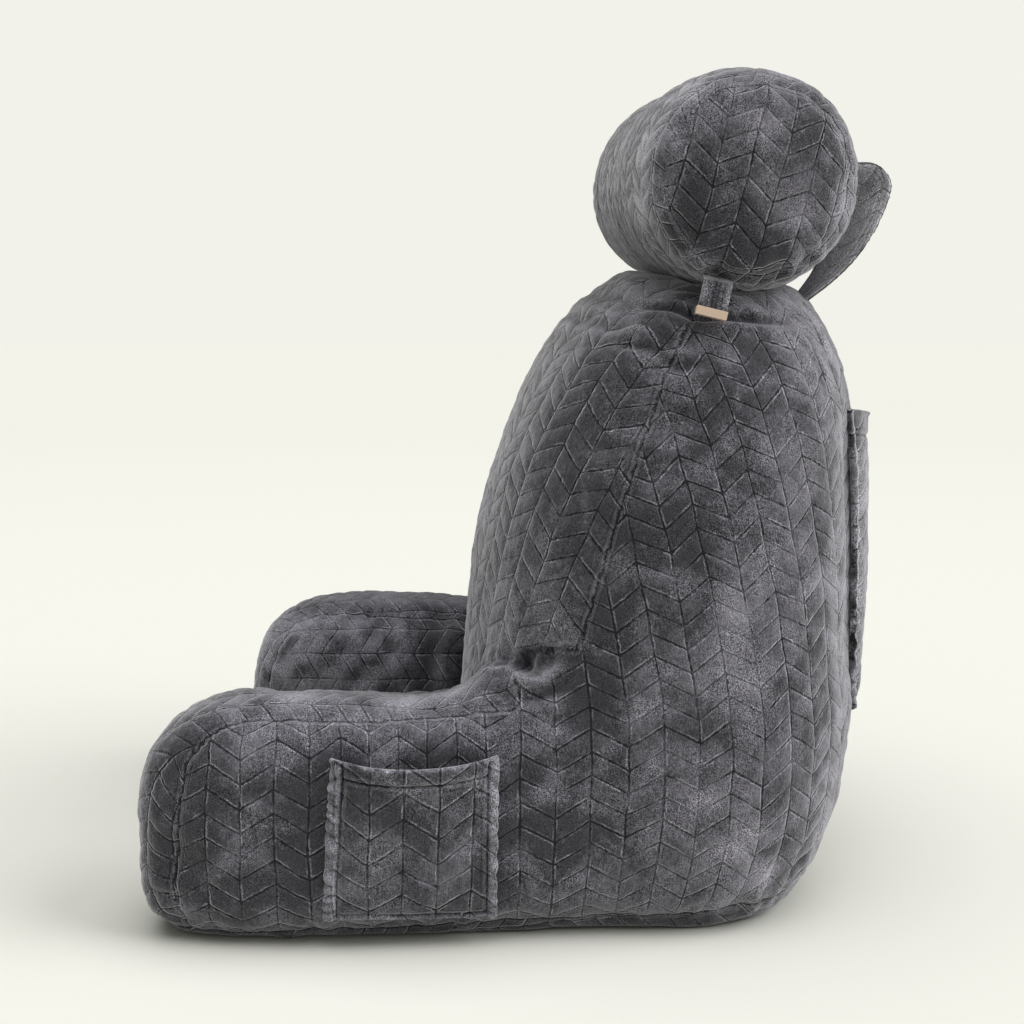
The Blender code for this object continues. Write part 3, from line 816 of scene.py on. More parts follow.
def make_roll(around=300, stations=260):
    """The neck roll: point(t, angle) = middle + along(t) axis + radius(t) (cos back + sin up),
    with stations evenly spaced on the profile, a seam round each end panel, puckers that
    spread from it, and the embossed cells."""
    half = smooth_rows(ROLL_ROWS_MM, 400) * MM
    profile = np.concatenate([half * [-1, 1], half[::-1]])
    length = travelled(profile)
    even = np.linspace(0, length[-1], stations + 2)[1:-1]
    axial, radius = (np.interp(even, length, profile[:, column]) for column in (0, 1))
    seam_at = np.interp(ROLL_CAP_SEAM, half[:200, 1], length[:200])
    distance = np.abs(np.minimum(even, length[-1] - even) - seam_at)
    angle = np.linspace(0, 2 * math.pi, around, endpoint=False)
    along, back, up = roll_axes()
    turn = np.outer(np.cos(angle), back) + np.outer(np.sin(angle), up)
    slope_axial, slope_radius = np.gradient(axial), np.gradient(radius)
    steep = np.hypot(slope_axial, slope_radius)
    normal = (slope_axial / steep)[:, None, None] * turn
    normal = normal - (slope_radius / steep)[:, None, None] * along
    middle = np.array(ROLL_MIDDLE)
    points = middle + axial[:, None, None] * along + radius[:, None, None] * turn
    flat, facing = points.reshape(-1, 3), normal.reshape(-1, 3)
    angle = np.tile(angle, stations)
    axial, radius, distance, travel = (
        np.repeat(values, around) for values in (axial, radius, distance, even - length[-1] / 2)
    )

    cap = (radius < ROLL_CAP_SEAM) & (np.abs(axial) > ROLL_CAP_FROM)
    local = (flat - middle) @ np.array([along, back, up]).T * ROLL_CAP_FULLNESS
    cosine, sine = math.cos(ROLL_CAP_TURN), math.sin(ROLL_CAP_TURN)
    u_side = travel / COLUMN + 0.35
    v_side = angle / (2 * math.pi) * ROLL_CELLS_ROUND
    u_cap = (cosine * local[:, 1] + sine * local[:, 2]) / COLUMN + 0.45
    v_cap = (cosine * local[:, 2] - sine * local[:, 1]) / CELL
    wobble_u = WOBBLE * waves(flat, WOBBLE_LENGTH, 21) / COLUMN
    wobble_v = WOBBLE * waves(flat, WOBBLE_LENGTH, 22) / CELL
    u = np.where(cap, u_cap, u_side) + wobble_u
    relief = emboss(u, np.where(cap, v_cap, v_side) + wobble_v) * np.where(cap, 1.1, 1.6)
    ring = np.stack([np.cos(angle), np.sin(angle), np.sign(axial)], axis=1) * 80 * MM
    gather = waves(ring, 19 * MM, 23)
    off = np.mod(angle - ROLL_HIDDEN_AT + math.pi, 2 * math.pi) - math.pi
    hidden = bell(off, 0.85)
    puckered = bell(np.mod(angle - ROLL_PUCKERED_AT, 2 * math.pi), 0.55)
    move = -SEAM_PULL * 0.9 * bell(distance, 9 * MM) * (1 - 0.7 * hidden) + 0.5 * MM
    move += (PUCKER + 2.4 * MM * puckered) * bell(distance, 17 * MM) * gather * 1.6
    move += 1.3 * MM * waves(flat, 110 * MM, 24) + 0.5 * MM * waves(flat, 36 * MM, 25)
    move += relief * step_up(distance, 0, SEAM_REACH)
    move -= SEAM_LINE * bell(distance, SEAM_LINE_WIDTH) * (1 - hidden)
    distance = distance + 6 * MM * hidden

    quads = tube_quads(stations, around)
    item = new_mesh("plush_roll", flat + facing * move[:, None], quads)
    on_cap = (cap[quads].sum(axis=1) >= 3)[:, None]
    v_ring = v_side[quads]
    v_ring = v_ring + ROLL_CELLS_ROUND * (v_ring.max(axis=1, keepdims=True) - v_ring > 16)
    u_loop = np.where(on_cap, u_cap[quads], u_side[quads]) + wobble_u[quads]
    v_loop = np.where(on_cap, v_cap[quads], v_ring) + wobble_v[quads]
    set_weave(item.data, u_loop.ravel(), v_loop.ravel())
    set_attribute(item.data, "seam", distance)
    # Painted light and shade on the puckers by the end seams: lighter where they bulge out.
    brushed = 0.5 * bell(distance, 14 * MM) * gather
    # Nap patches, and a painted sheen round the near end's shoulder.
    for tone, axial_mm, back_mm, up_mm, reach in ROLL_BRUSHED_MM:
        offset = local / ROLL_CAP_FULLNESS - np.array([axial_mm, back_mm, up_mm]) * MM
        brushed += tone * bell(lengths(offset), reach * MM)
    set_attribute(item.data, "nap_and_painted_light", brushed * (1 + 1.2 * waves(flat, 34 * MM, 26)))
    rework(item.data, fill_rims)
    item.data.shade_smooth()
    return item


def carried_onto(points, node, axis):
    """Points moved down one axis until they meet a node's solid."""
    loose = bpy.data.meshes.new("loose")
    loose.vertices.add(len(points))
    set_points(loose, points)
    item = link(bpy.data.objects.new("loose", loose))
    wrap = item.modifiers.new("onto", "SHRINKWRAP")
    wrap.wrap_method = "PROJECT"
    wrap.use_project_x, wrap.use_project_y = axis == 0, axis == 1
    wrap.use_negative_direction = True
    wrap.use_positive_direction = False
    wrap.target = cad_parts[node]
    landed = np.empty(len(points) * 3)
    evaluated(item).vertices.foreach_get("co", landed)
    bpy.data.objects.remove(item)
    return landed.reshape(-1, 3)


def rounded_over(distance, size):
    """How far a skin falls at a distance from a rim of that radius: size - sqrt(size^2 -
    (size - distance)^2)."""
    inward = size - np.clip(distance, 0, size)
    return size - np.sqrt(np.maximum(size**2 - inward**2, 0.0))


def two_skins(name, front, back, columns, flip):
    """A closed cloth from a front and a back grid of the same size, joined at their rims."""
    rows = len(front) // columns
    grid = np.arange(len(front)).reshape(rows, columns)
    skin = np.stack([grid[:-1, :-1], grid[:-1, 1:], grid[1:, 1:], grid[1:, :-1]], axis=-1)
    skin = skin.reshape(-1, 4)
    rim = np.concatenate([grid[0, :-1], grid[:-1, -1], grid[-1, :0:-1], grid[:0:-1, 0]])
    beside = np.roll(rim, -1)
    count = len(front)
    wall = np.stack([rim + count, beside + count, beside, rim], axis=-1)
    quads = np.concatenate([skin, skin[:, ::-1] + count, wall])
    if flip:
        quads = quads[:, ::-1]
    return new_mesh(name, np.concatenate([front, back]), quads), quads


# Patch pockets, in mm: the axis that they face (0: the arm's outer side, 1: the back); places of
# their lower and upper corners, bottom and top; dip of the mouth; widths of hem, welts and bottom
# seam; a peak line's place from the middle; height of the cells and of the first one; spacing of
# the skin's points; seed; length of the welts' puffs and how much they swell; how far the sides
# wrap round the body; slack; and how strong the painted highlight on the welts and edges is.
POCKETS = {
    "arm_pocket": SimpleNamespace(
        axis=0, left=-271, right=-130, left_top=-262, right_top=-128, bottom=26, top=163, dip=6,
        hem=13.5, welt=9.5, seam=4.5, peak=-6.5, cell=21.8, first_cell=8.3, spacing=0.95, seed=31,
        puff=12.5, lumpy=1.0, spill=0.0, slack=0.0, bright=1.0,
    ),
    "back_pocket": SimpleNamespace(
        axis=1, left=-140, right=140, left_top=-136, right_top=136, bottom=164, top=433, dip=8,
        hem=22.0, welt=7.5, seam=6.0, peak=0.0, cell=19.9, first_cell=24.0, spacing=1.7, seed=41,
        puff=14.0, lumpy=0.4, spill=8.0, slack=3.5, bright=0.35,
    ),
}
CLOTH = 3.0
PUFF_MEAN = 0.68
POCKET_SPAN = (0.004, 0.996)


def make_pocket(name):
    """A patch pocket: the grid (share across, share up) between its slanted sides, carried onto
    its solid, pushed out by lumpy welts along both sides, a hem under the mouth, the bottom
    seam's edge and the embossed cells, with a back skin 3 mm behind. Also gives its flat
    height and width in mm."""
    size = POCKETS[name]
    axis = size.axis
    width, height = size.right - size.left, size.top - size.bottom
    columns, rows = int(width / size.spacing), int(height / size.spacing)
    share, rise = np.meshgrid(
        *(np.linspace(*POCKET_SPAN, count) for count in (columns, rows))
    )
    left = size.left + (size.left_top - size.left) * rise
    right = size.right + (size.right_top - size.right) * rise
    across = left + (right - left) * share
    start = np.zeros((rows, columns, 3))
    start[..., axis] = 400.0
    start[..., 1 - axis] = across
    start[..., 2] = size.bottom + height * rise - size.dip * 4 * share * (1 - share) * rise
    base = carried_onto(start.reshape(-1, 3) * MM, name, axis).reshape(rows, columns, 3) / MM
    normal = np.cross(np.gradient(base, axis=1), np.gradient(base, axis=0))
    normal *= np.sign(normal[..., axis])[..., None]
    normal = unit(normal.reshape(-1, 3)).reshape(rows, columns, 3)
    climb = travelled(base)
    from_top = climb[-1] - climb
    from_side = np.minimum(across - left, right - across)

    lumps = grid_waves(base, 11, size.seed)
    soft = grid_waves(base, 38, size.seed + 1)
    u = (across - (left + right) / 2 - size.peak) / (COLUMN / MM) + 0.03 * soft
    v = (climb - size.first_cell) / size.cell - SLANT_RISE
    v = v + 0.04 * grid_waves(base, 45, size.seed + 2)
    uneven = grid_waves(base, 55, size.seed + 3)
    puff = np.abs(np.sin(math.pi * (climb / size.puff + 1.1 * uneven + 0.3))) ** 0.8
    puff = PUFF_MEAN + size.lumpy * (puff - PUFF_MEAN)
    half = np.where(share < 0.5, 0.55, 0.40) * size.welt
    welt = np.sqrt(np.clip(1 - ((from_side - half) / half) ** 2, 0, 1))
    from_welt = from_side - 2 * half - 0.6
    climb = climb + 0.9 * soft
    edge, hem = size.seam / 2, size.hem
    inside = step_up(from_side, size.welt, size.welt + 4) * step_up(climb, 4, 9)
    move = welt * (1.2 + 2.3 * puff + 0.8 * lumps) - 1.4 * bell(from_welt, 1.8)
    move += 1.2 * np.sqrt(np.clip(1 - ((climb - edge) / edge) ** 2, 0, 1)) * (1 + 0.5 * lumps)
    move -= 1.1 * bell(climb - size.seam - 0.6, 2.0) * step_up(from_side, 2, 8)
    move += 0.9 * step_up(hem - from_top, 0.0, 3.0) * step_up(from_side, 4, 10)
    move -= 1.2 * bell(from_top - hem, 1.5) * step_up(from_side, 6, 10)
    move += emboss(u, v) / MM * inside * (0.35 + 0.65 * step_up(from_top, hem - 2, hem + 2))
    move += 0.9 * soft * inside + 1.2 * bell(from_top - 2.0, 2.2) * (1 + lumps)
    fall = rounded_over(np.min([from_side, climb, from_top], axis=0), CLOTH / 2 - 0.1)
    wander = 1.0 * puff - 0.7 + 0.6 * grid_waves(base, 14, 39)
    spill = size.spill * (0.5 + 0.5 * rise)
    wander += 0.7 * spill
    base[..., axis] += size.slack * bell(rise - 0.38, 0.34) * step_up(from_side, 4, 16)
    base[..., axis] -= 0.8 * spill * step_up(12 - from_side, 0, 12)
    base[..., 1 - axis] += np.where(share > 0.5, 1, -1) * wander * step_up(9 - from_side, 0, 9)
    front = base + normal * (move - fall)[..., None]
    back = base - normal * (CLOTH - fall)[..., None]

    item, quads = two_skins("plush_" + name, front.reshape(-1, 3) * MM, back.reshape(-1, 3) * MM,
                            columns, flip=axis == 1)
    set_weave(item.data, *(np.tile(place.ravel(), 2)[quads].ravel() for place in (u, v)))
    seam = np.min([
        np.abs(from_welt),
        np.abs(climb - size.seam - 0.6) + 9 * (from_side < 2) + 0.5,
        np.abs(from_top - hem) + 9 * (from_side < size.welt),
    ], axis=0)
    # Painted highlight on the welts' puffs, the bottom seam's edge and the mouth's edge, made
    # uneven by the lumps.
    nap_and_painted_light = np.maximum(welt, 0.8 * step_up(size.seam - climb, 0, 2)) * (0.5 + 0.9 * puff)
    nap_and_painted_light = np.maximum(nap_and_painted_light, 0.7 * step_up(4.0 - from_top, 0, 4)) * (1.35 + 0.8 * lumps)
    set_attribute(item.data, "seam", np.tile(seam.ravel() * MM, 2))
    set_attribute(item.data, "nap_and_painted_light", np.tile(size.bright * nap_and_painted_light.ravel(), 2))
    return item, float(climb.max() + hem), float(width + 1.4 * size.spill)


# Strap behind the roll, in mm: its near and far edge, from the body up to the roll.
STRAP_ROWS_MM = (
    (84.2, 142.5, 525, 34.8, 144, 531),
    (91, 167, 545, 40, 158, 553),
    (95, 187, 567, 43, 164, 575),
    (98, 204, 596, 44, 172, 602),
    (98, 212, 622, 44, 178, 628),
    (96, 209, 635, 43, 179, 638),
    (93, 196.5, 644, 41, 178, 646),
    (90.2, 170.3, 643.8, 38.5, 166, 646.3),
)
STRAP_THICKNESS = 6.0
STRAP_FLANGE = 9.0
STRAP_FAR_FLANGE = 6.0


def soft_section(count):
    """Round the flat soft section x^4 + y^4 = 1, with count points on its front and evenly
    turned: x, the face that each point is on (1 or -1), and y."""
    over = np.sin(np.linspace(-1, 1, count) * math.pi / 2)
    side = np.concatenate([over, over[-2:0:-1]])
    face = np.concatenate([np.ones(count), -np.ones(count - 2)])
    return side, face, face * (1 - side**4) ** 0.25


def make_band(name, points, u, v, seam, nap_and_painted_light):
    """A closed band from its rings of points, in mm (station, around, 3), with the pattern's
    coordinates, the distance from a seam in mm and the nap and painted light at each point."""
    quads = tube_quads(*points.shape[:2])[:, [0, 3, 2, 1]]
    item = new_mesh(name, points.reshape(-1, 3) * MM, quads)
    set_weave(item.data, u.ravel()[quads].ravel(), v.ravel()[quads].ravel())
    set_attribute(item.data, "seam", seam.ravel() * MM)
    set_attribute(item.data, "nap_and_painted_light", nap_and_painted_light.ravel())
    for change in (fill_rims, turn_outward):
        rework(item.data, change)
    item.data.shade_smooth()
    return item


def make_strap(stations=120, across_count=60):
    """The strap: a soft flat section (x^4 + y^4 = 1) carried between its two edges, with a sewn
    flange along its outer edge and that edge left raw. Also gives its length and width."""
    rows = smooth_rows(STRAP_ROWS_MM, stations)
    near, far = rows[:, :3], rows[:, 3:]
    middle = (near + far) / 2
    across = near - far
    width = lengths(across)
    across /= width[:, None]
    normal = unit(np.cross(np.gradient(middle, axis=0), across))
    travel = travelled(middle)
    side, face, through = soft_section(across_count)
    offset = np.outer(width / 2, side)
    points = middle[:, None] + offset[..., None] * across[:, None]
    from_near = width[:, None] / 2 - offset
    from_far = width[:, None] - from_near
    u = from_far / (COLUMN / MM) - 0.1
    v = np.repeat(travel[:, None], len(side), axis=1) / (CELL / MM) + 0.3
    frayed, soft, bend = (
        grid_waves(points, size, seed) for size, seed in ((4.0, 52), (30, 53), (70, 54))
    )
    groove = bell(from_near - STRAP_FLANGE, 1.5) + 0.7 * bell(from_far - STRAP_FAR_FLANGE, 1.5)
    inner = step_up(from_near, STRAP_FLANGE, STRAP_FLANGE + 4)
    inner = inner * step_up(from_far, STRAP_FAR_FLANGE, STRAP_FAR_FLANGE + 4)
    move = face * (emboss(u, v) / MM * inner * 0.9 - 1.1 * groove + 0.35 * soft)
    move -= face * 0.7 * step_up(STRAP_FLANGE - from_near, 0, 2) * np.abs(through)
    bend = 1.2 * bend * (bell(np.linspace(-1, 1, stations), 0.7)[:, None] * 0.6)
    thick = STRAP_THICKNESS / 2 * through
    points = points + (thick + move * np.abs(through) + bend)[..., None] * normal[:, None]
    raw = step_up(3.0 - from_near, 0, 3) * bell(np.linspace(-0.9, 1.1, stations), 0.8)[:, None]
    points = points + (raw * (0.9 * frayed - 0.2))[..., None] * across[:, None]
    seam = np.minimum(np.abs(from_near - STRAP_FLANGE), np.abs(from_far - STRAP_FAR_FLANGE))
    # Painted light on the inner face, which lies in shade, and painted shade on the outer face.
    painted_light_and_shade = 2.5 * step_up(-face * np.ones_like(from_near), -0.5, 0.5) - 0.7
    item = make_band("plush_strap", points, u, v, seam, 0.5 * raw + painted_light_and_shade)
    return item, float(travel[-1]), float(width.mean())


# Tab under the roll's near end, in mm: from the end's seam down to its lower edge, how deep its
# top is tucked into that seam, and its fullness for shares of its length.
TAB_TOP = (195.2, 51.2, 546.0)
TAB_LOW = (201.0, 43.0, 511.0)
TAB_WIDTH = 24.0
TAB_THICKNESS = 4.4
TAB_TUCKED = 15
TAB_SECTIONS = np.array(((0, 0.8), (0.08, 1), (0.45, 1.06), (0.78, 1), (0.84, 0.8), (1, 0.8)))


def make_tab(stations=56, across_count=46):
    """The tab: a soft flat section carried straight down, its two long edges folded over the
    front so that they stand proud of a sunken middle, and its top tucked into the roll's seam.
    Also gives the length of its course."""
    top, low = np.array(TAB_TOP), np.array(TAB_LOW)
    length = np.linalg.norm(low - top)
    down = (low - top) / length
    across = unit(np.cross(down, [1, 0, 0])[None])[0]
    normal = unit(np.cross(down, across)[None])[0]
    share = np.linspace(0, 1, stations)[:, None]
    full = np.interp(share, *TAB_SECTIONS.T)
    side, face, through = soft_section(across_count)
    fold = 0.8 * (step_up(np.abs(side), 0.38, 0.62) - 1)
    free = step_up(0.82 - share, 0.0, 0.08)
    places = top + share[..., None] * length * down + (side * TAB_WIDTH / 2)[:, None] * across
    lumps = grid_waves(places, 7, 61)
    thick = full * through * TAB_THICKNESS / 2
    thick = thick + (fold * free + 0.3 * lumps * free) * face * np.abs(through)
    tucked = TAB_TUCKED * step_up(0.24 - share, 0.0, 0.24)
    points = places + (thick + tucked)[..., None] * normal
    rows = np.ones((stations, 1))
    u = rows * side * TAB_WIDTH / 2 / (COLUMN / MM) + 0.5
    v = np.repeat(share * length, len(side), axis=1) / (CELL / MM)
    seam = rows * (np.abs(np.abs(side) - 0.5) * TAB_WIDTH / 2 + 1.0)
    # Painted highlight on the folded edges, painted shade in the sunken middle, in a band just
    # above the clip and at the top, where it goes under the roll.
    nap_and_painted_light = rows * (2.2 * step_up(np.abs(side), 0.55, 0.9) - 0.6)
    nap_and_painted_light = nap_and_painted_light - 1.6 * bell(share - 0.80, 0.06) - 2.0 * bell(share, 0.2)
    item = make_band("plush_tab", points, u, v, seam, nap_and_painted_light)
    return item, float(travelled(share * length * down + tucked * normal)[-1])


class Graph:
    """Short calls for building a node tree."""

    def __init__(self, tree):
        self.tree = tree

    def fill(self, node, inputs):
        """Set a node's inputs, by name or in their order, to values or links from sockets."""
        for key, value in inputs.items() if isinstance(inputs, dict) else enumerate(inputs):
            if isinstance(value, bpy.types.NodeSocket):
                self.tree.links.new(value, node.inputs[key])
            else:
                node.inputs[key].default_value = value
        return node

    def node(self, kind, inputs=(), **settings):
        """A new node with its settings and inputs."""
        made = self.tree.nodes.new(kind)
        for key, value in settings.items():
            setattr(made, key, value)
        return self.fill(made, inputs)

    def math(self, operation, *inputs, clamp=False):
        """Result of a Math node."""
        return self.node("ShaderNodeMath", inputs, operation=operation, use_clamp=clamp).outputs[0]

    def times(self, first, *others):
        """Product of the values."""
        for other in others:
            first = self.math("MULTIPLY", first, other)
        return first

    def plus(self, total, *parts):
        """total plus each part's value times its weight."""
        for value, weight in parts:
            total = self.math("MULTIPLY_ADD", value, weight, total)
        return total

    def range(self, value, low, high, new_low=0.0, new_high=1.0, smooth=True):
        """value moved from low..high to new_low..new_high."""
        kind = "SMOOTHSTEP" if smooth else "LINEAR"
        numbers = (value, low, high, new_low, new_high)
        return self.node("ShaderNodeMapRange", numbers, interpolation_type=kind).outputs[0]

    def noise(self, place, scale, detail=2.0, rough=0.5, distortion=0.0):
        """Noise from 0 to 1."""
        inputs = {"Vector": place, "Scale": scale, "Detail": detail, "Roughness": rough,
                  "Distortion": distortion}
        return self.node("ShaderNodeTexNoise", inputs).outputs["Fac"]

    def named_noise(self, place, name):
        """The noise of that name in NOISES, moved to its new range."""
        numbers = NOISES[name]
        return self.range(self.noise(place, *numbers[:4]), *numbers[4:])

    def marks(self, total, weights, values):
        """total plus each value times the weight of its name."""
        return self.plus(total, *((value, weights[name]) for name, value in values.items()))

    def blend(self, share, first, second, kind="MIX"):
        """Colours mixed by share."""
        made = self.node("ShaderNodeMix", data_type="RGBA", blend_type=kind)
        return self.fill(made, {0: share, 6: first, 7: second}).outputs[2]

    def place(self):
        """The object's own coordinates."""
        return self.node("ShaderNodeTexCoord").outputs["Object"]

    def stored(self, name):
        """A number stored at the points."""
        return self.node("ShaderNodeAttribute", attribute_name=name).outputs["Fac"]

    def weave(self):
        """The pattern's coordinates: columns and cells."""
        return self.node("ShaderNodeUVMap", uv_map="weave").outputs[0]


def new_group(name, inputs, outputs):
    """A node group's Graph, with its named number or colour inputs and its outputs."""
    tree = bpy.data.node_groups.new(name, "ShaderNodeTree")
    for key, value in inputs.items():
        kind = "NodeSocketFloat" if isinstance(value, float) else "NodeSocketColor"
        socket = tree.interface.new_socket(key, in_out="INPUT", socket_type=kind)
        socket.default_value = value
    for key in outputs:
        kind = "NodeSocketColor" if key == "Color" else "NodeSocketFloat"
        tree.interface.new_socket(key, in_out="OUTPUT", socket_type=kind)
    return Graph(tree)


def cells_group():
    """Masks of the embossing from the weave map: groove line, for painted shade, its rims, for
    painted highlights, lighter on one side of a groove here and there, and a number for each cell."""
    g = new_group("embossed_cells", {}, ("Line", "Rim", "Cell"))
    across, along, _ = g.node("ShaderNodeSeparateXYZ", (g.weave(),)).outputs
    shifted = g.plus(along, (g.math("PINGPONG", across, 1.0), SLANT_RISE))
    column = g.times(g.math("PINGPONG", across, 0.5), COLUMN / MM)
    slanted = g.times(g.math("PINGPONG", shifted, 0.5), CELL * SLANT_SLOPE / MM)
    distance = g.math("SMOOTH_MIN", column, slanted, 0.7)
    place = g.place()
    distance = g.math("ADD", distance, g.named_noise(place, "uneven_grooves"))
    right, above = (
        g.math("SIGN", g.math("SUBTRACT", 0.5, g.math("FRACT", value)))
        for value in (across, shifted)
    )
    by_column = g.math("LESS_THAN", column, slanted)
    which = g.plus(above, (g.math("SUBTRACT", right, above), by_column))
    # The rims' painted highlight is stronger on one side of a groove here and there.
    favour = g.math("SUBTRACT", g.noise(place, 19.0, 1.0), 0.46)
    one_side = g.range(g.times(which, favour), -0.03, 0.03, 0.12, 1.0)
    floors = (g.math("FLOOR", across), g.math("FLOOR", shifted), 0.0)
    cell = g.node("ShaderNodeCombineXYZ", floors).outputs[0]
    g.node("NodeGroupOutput", {
        "Line": g.range(distance, 1.2, 0.15),
        "Rim": g.times(g.range(distance, 0.8, 1.3), g.range(distance, 2.6, 1.4), one_side),
        "Cell": g.node("ShaderNodeTexWhiteNoise", {"Vector": cell}).outputs["Value"],
    })
    return g.tree


def pile_group(cells):
    """Plush pile: colour with broad nap patches, strokes along the pile and fuzz, painted shade in
    the grooves and seams, painted highlights beside them, the stored nap and painted light, and
    the bump's height in millimetres."""
    inputs = {"Dark": DARK_PILE, "Light": LIGHT_PILE, "Embossing": 1.0, "Seams": 1.0}
    g = new_group("plush_pile", inputs, ("Color", "Height", "Roughness"))
    given = g.node("NodeGroupInput").outputs
    place = g.place()
    masks = g.node("ShaderNodeGroup", node_tree=cells).outputs
    pile_run = g.node("ShaderNodeVectorMath", (g.weave(), (COLUMN / MM, CELL / MM * 0.16, 1.0)),
                      operation="MULTIPLY").outputs[0]
    strokes = g.noise(pile_run, 0.75, 2.0, 0.6)
    fuzz = g.noise(place, 980.0, 1.0, 0.6)
    tufts = g.noise(place, 330.0, 2.0, 0.6)
    calm = g.stored("calm")
    embossing = g.times(given["Embossing"], g.math("SUBTRACT", 1.0, calm))
    # Painted shade in the grooves and painted highlights on their rims.
    line = g.times(masks["Line"], embossing, g.named_noise(place, "uneven_groove_shade"))
    rim = g.times(masks["Rim"], embossing, g.named_noise(place, "bright_rims"))
    cell = g.times(g.math("SUBTRACT", masks["Cell"], 0.5), given["Embossing"])

    seam_mm = g.plus(g.range(tufts, 0.2, 0.8, -0.6, 0.6), (g.stored("seam"), 1 / MM))
    seams = g.times(given["Seams"], g.plus(1.0, (calm, -0.8)))
    # Painted shade in the seams and along their stitching, and painted highlights beside them.
    stitches = g.times(g.range(seam_mm, 4.6, 5.3), g.range(seam_mm, 6.2, 5.4))
    seam_line = g.times(g.range(seam_mm, 1.3, 0.1), seams)
    seam_line = g.plus(seam_line, (stitches, g.times(seams, 0.45)))
    seam_rim = g.times(g.range(seam_mm, 1.0, 2.0), g.range(seam_mm, 4.6, 2.6), seams)

    patches, smudges = (g.named_noise(place, name) for name in ("patches", "smudges"))
    nap = g.marks(NAP_BASE, NAP, {"patches": patches, "smudges": smudges, "cell": cell})
    nap = g.math("ADD", nap, g.range(strokes, 0.3, 0.7, -0.05, 0.09))
    nap = g.math("ADD", nap, g.range(tufts, 0.3, 0.7, -0.06, 0.09))
    # Nap, and painted light and shade, stored at the points.
    nap = g.marks(nap, NAP, {"nap_and_painted_light": g.stored("nap_and_painted_light")})
    nap = g.math("SMOOTH_MAX", nap, NAP_LEAST, NAP_LEAST_SOFT)
    nap = g.marks(nap, NAP, {"rim": rim, "seam_rim": seam_rim, "line": line})
    nap = g.math("MULTIPLY_ADD", seam_line, NAP["seam_line"], nap, clamp=True)
    speck = g.range(fuzz, 0.36, 0.64, -0.78, 0.92)
    speck = g.plus(1.0, (speck, g.named_noise(place, "ruffled")))
    speck = g.node("ShaderNodeCombineColor", (speck,) * 3).outputs[0]
    g.node("NodeGroupOutput", {
        "Color": g.blend(1.0, g.blend(nap, given["Dark"], given["Light"]), speck, "MULTIPLY"),
        "Height": g.marks(g.times(fuzz, FUZZ_BUMP), BUMP, {
            "tufts": tufts, "strokes": strokes, "line": line, "rim": rim, "seam_line": seam_line,
        }),
        "Roughness": g.range(fuzz, 0.3, 0.7, 0.82, 0.98),
    })
    return g.tree


def new_material(name):
    """A material, the Graph of its nodes and its Principled BSDF."""
    material = bpy.data.materials.new(name)
    material.use_nodes = True
    tree = material.node_tree
    return material, Graph(tree), tree.nodes["Principled BSDF"]


def plush_material(name, pile, embossing=1.0, seams=1.0, light=LIGHT_PILE):
    """Charcoal plush: the pile group on a Principled BSDF with sheen."""
    material, g, shader = new_material(name)
    inputs = {"Embossing": embossing, "Seams": seams, "Light": light}
    pile = g.node("ShaderNodeGroup", inputs, node_tree=pile).outputs
    bump = {"Strength": 0.85, "Distance": 1.0 * MM, "Height": pile["Height"]}
    g.fill(shader, {
        "Base Color": pile["Color"],
        "Roughness": pile["Roughness"],
        "Normal": g.node("ShaderNodeBump", bump).outputs[0],
        "Sheen Weight": 1.0,
        "Sheen Roughness": 0.40,
        "Sheen Tint": (0.86, 0.85, 0.90, 1),
        "Specular IOR Level": 0.2,
    })
    return material


def metal_material():
    """Pale gold with a fine brushed grain."""
    material, g, shader = new_material("pale_gold")
    brushed = g.node("ShaderNodeMapping", {"Vector": g.place(), "Scale": (1, 1, 5)}).outputs[0]
    fine = g.noise(brushed, 300.0, 2.0)
    g.fill(shader, {
        "Base Color": g.blend(g.range(fine, 0.3, 0.7), (0.97, 0.73, 0.56, 1),
                              (1.0, 0.79, 0.63, 1)),
        "Roughness": g.range(fine, 0.3, 0.7, 0.30, 0.38),
        "Metallic": 0.65,
    })
    return material


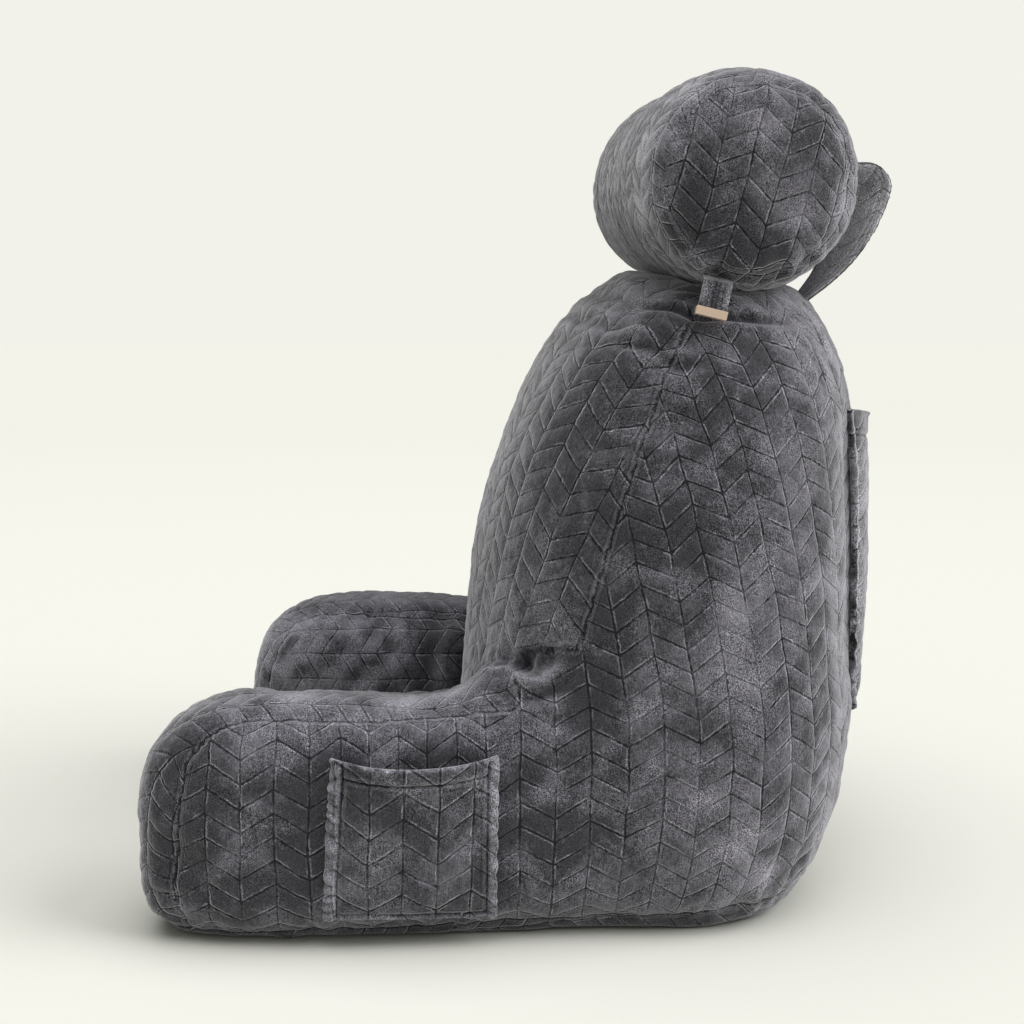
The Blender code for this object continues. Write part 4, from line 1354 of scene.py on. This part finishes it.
def make_stage():
    """Pale floor with painted shade far away, and soft studio light."""
    corners = np.array([(-1, -1, 0), (1, -1, 0), (1, 1, 0), (-1, 1, 0)]) * FLOOR_REACH
    floor = new_mesh("floor", corners, np.array([[0, 1, 2, 3]]))
    paper, g, shader = new_material("paper_floor")
    # Painted shade that darkens the floor far away.
    away = g.node("ShaderNodeVectorMath", (g.place(),), operation="LENGTH").outputs["Value"]
    g.fill(shader, {
        "Base Color": g.blend(g.range(away, 0.9, 6.0), FLOOR_NEAR, FLOOR_FAR),
        "Roughness": 0.95,
        "Specular IOR Level": 0.0,
    })
    floor.data.materials.append(paper)
    world = bpy.data.worlds.new("studio")
    bpy.context.scene.world = world
    world.use_nodes = True
    g = Graph(world.node_tree)
    seen = g.node("ShaderNodeLightPath").outputs["Is Camera Ray"]
    g.fill(world.node_tree.nodes["Background"], {
        "Color": WALL,
        "Strength": g.range(seen, 0.0, 1.0, WALL_LIGHT, 1.0, smooth=False),
    })
    for name, heading, energy, breadth in LAMPS:
        lamp = bpy.data.lights.new(name, "SUN")
        lamp.energy = energy
        lamp.angle = math.radians(breadth)
        item = link(bpy.data.objects.new(name, lamp))
        item.rotation_euler = Vector(heading).to_track_quat("-Z", "Y").to_euler()
    bpy.context.scene.view_settings.view_transform = "Standard"


def make_camera():
    """The camera, at the photo's angle."""
    lens = bpy.data.cameras.new("camera")
    lens.lens = CAMERA_LENS
    lens.sensor_width = 36.0
    item = link(bpy.data.objects.new("camera", lens))
    level = math.cos(CAMERA_PITCH)
    heading = Vector((
        -level * math.cos(CAMERA_YAW), -level * math.sin(CAMERA_YAW), -math.sin(CAMERA_PITCH)
    ))
    turn = heading.to_track_quat("-Z", "Y").to_matrix().to_4x4()
    item.matrix_world = Matrix.Translation(CAMERA_PLACE) @ turn
    bpy.context.scene.camera = item


def finish_piece(item, node, material):
    """Give a piece its material and its place on the body, and hide the solid that it stands for.
    """
    item.data.materials.clear()
    item.data.materials.append(material)
    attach(item, "root")
    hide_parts(node)
    return item


def main():
    """Dress every node."""
    make_camera()
    make_stage()
    pile = pile_group(cells_group())
    body = finish_piece(make_body(), "body", plush_material("body_plush", pile, seams=0.7))
    roll = finish_piece(make_roll(), "neck_roll", plush_material("roll_plush", pile))
    for name in POCKETS:
        pocket, height, width = make_pocket(name)
        # The back pocket's lighter pile colour is a painted sheen.
        light = BACK_POCKET_PAINTED_SHEEN if name == "back_pocket" else LIGHT_PILE
        finish_piece(pocket, name, plush_material(name + "_plush", pile, seams=0.6, light=light))
    strap, length, width = make_strap()
    # The strap's lighter pile colour is painted light on the face that lies in shade.
    finish_piece(strap, "roll_strap", plush_material("strap_plush", pile, light=STRAP_PAINTED_LIGHT))
    tab, length = make_tab()
    finish_piece(tab, "side_tab", plush_material("tab_plush", pile, embossing=0.0))
    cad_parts["tab_clip"].material_slots[0].material = metal_material()


main()
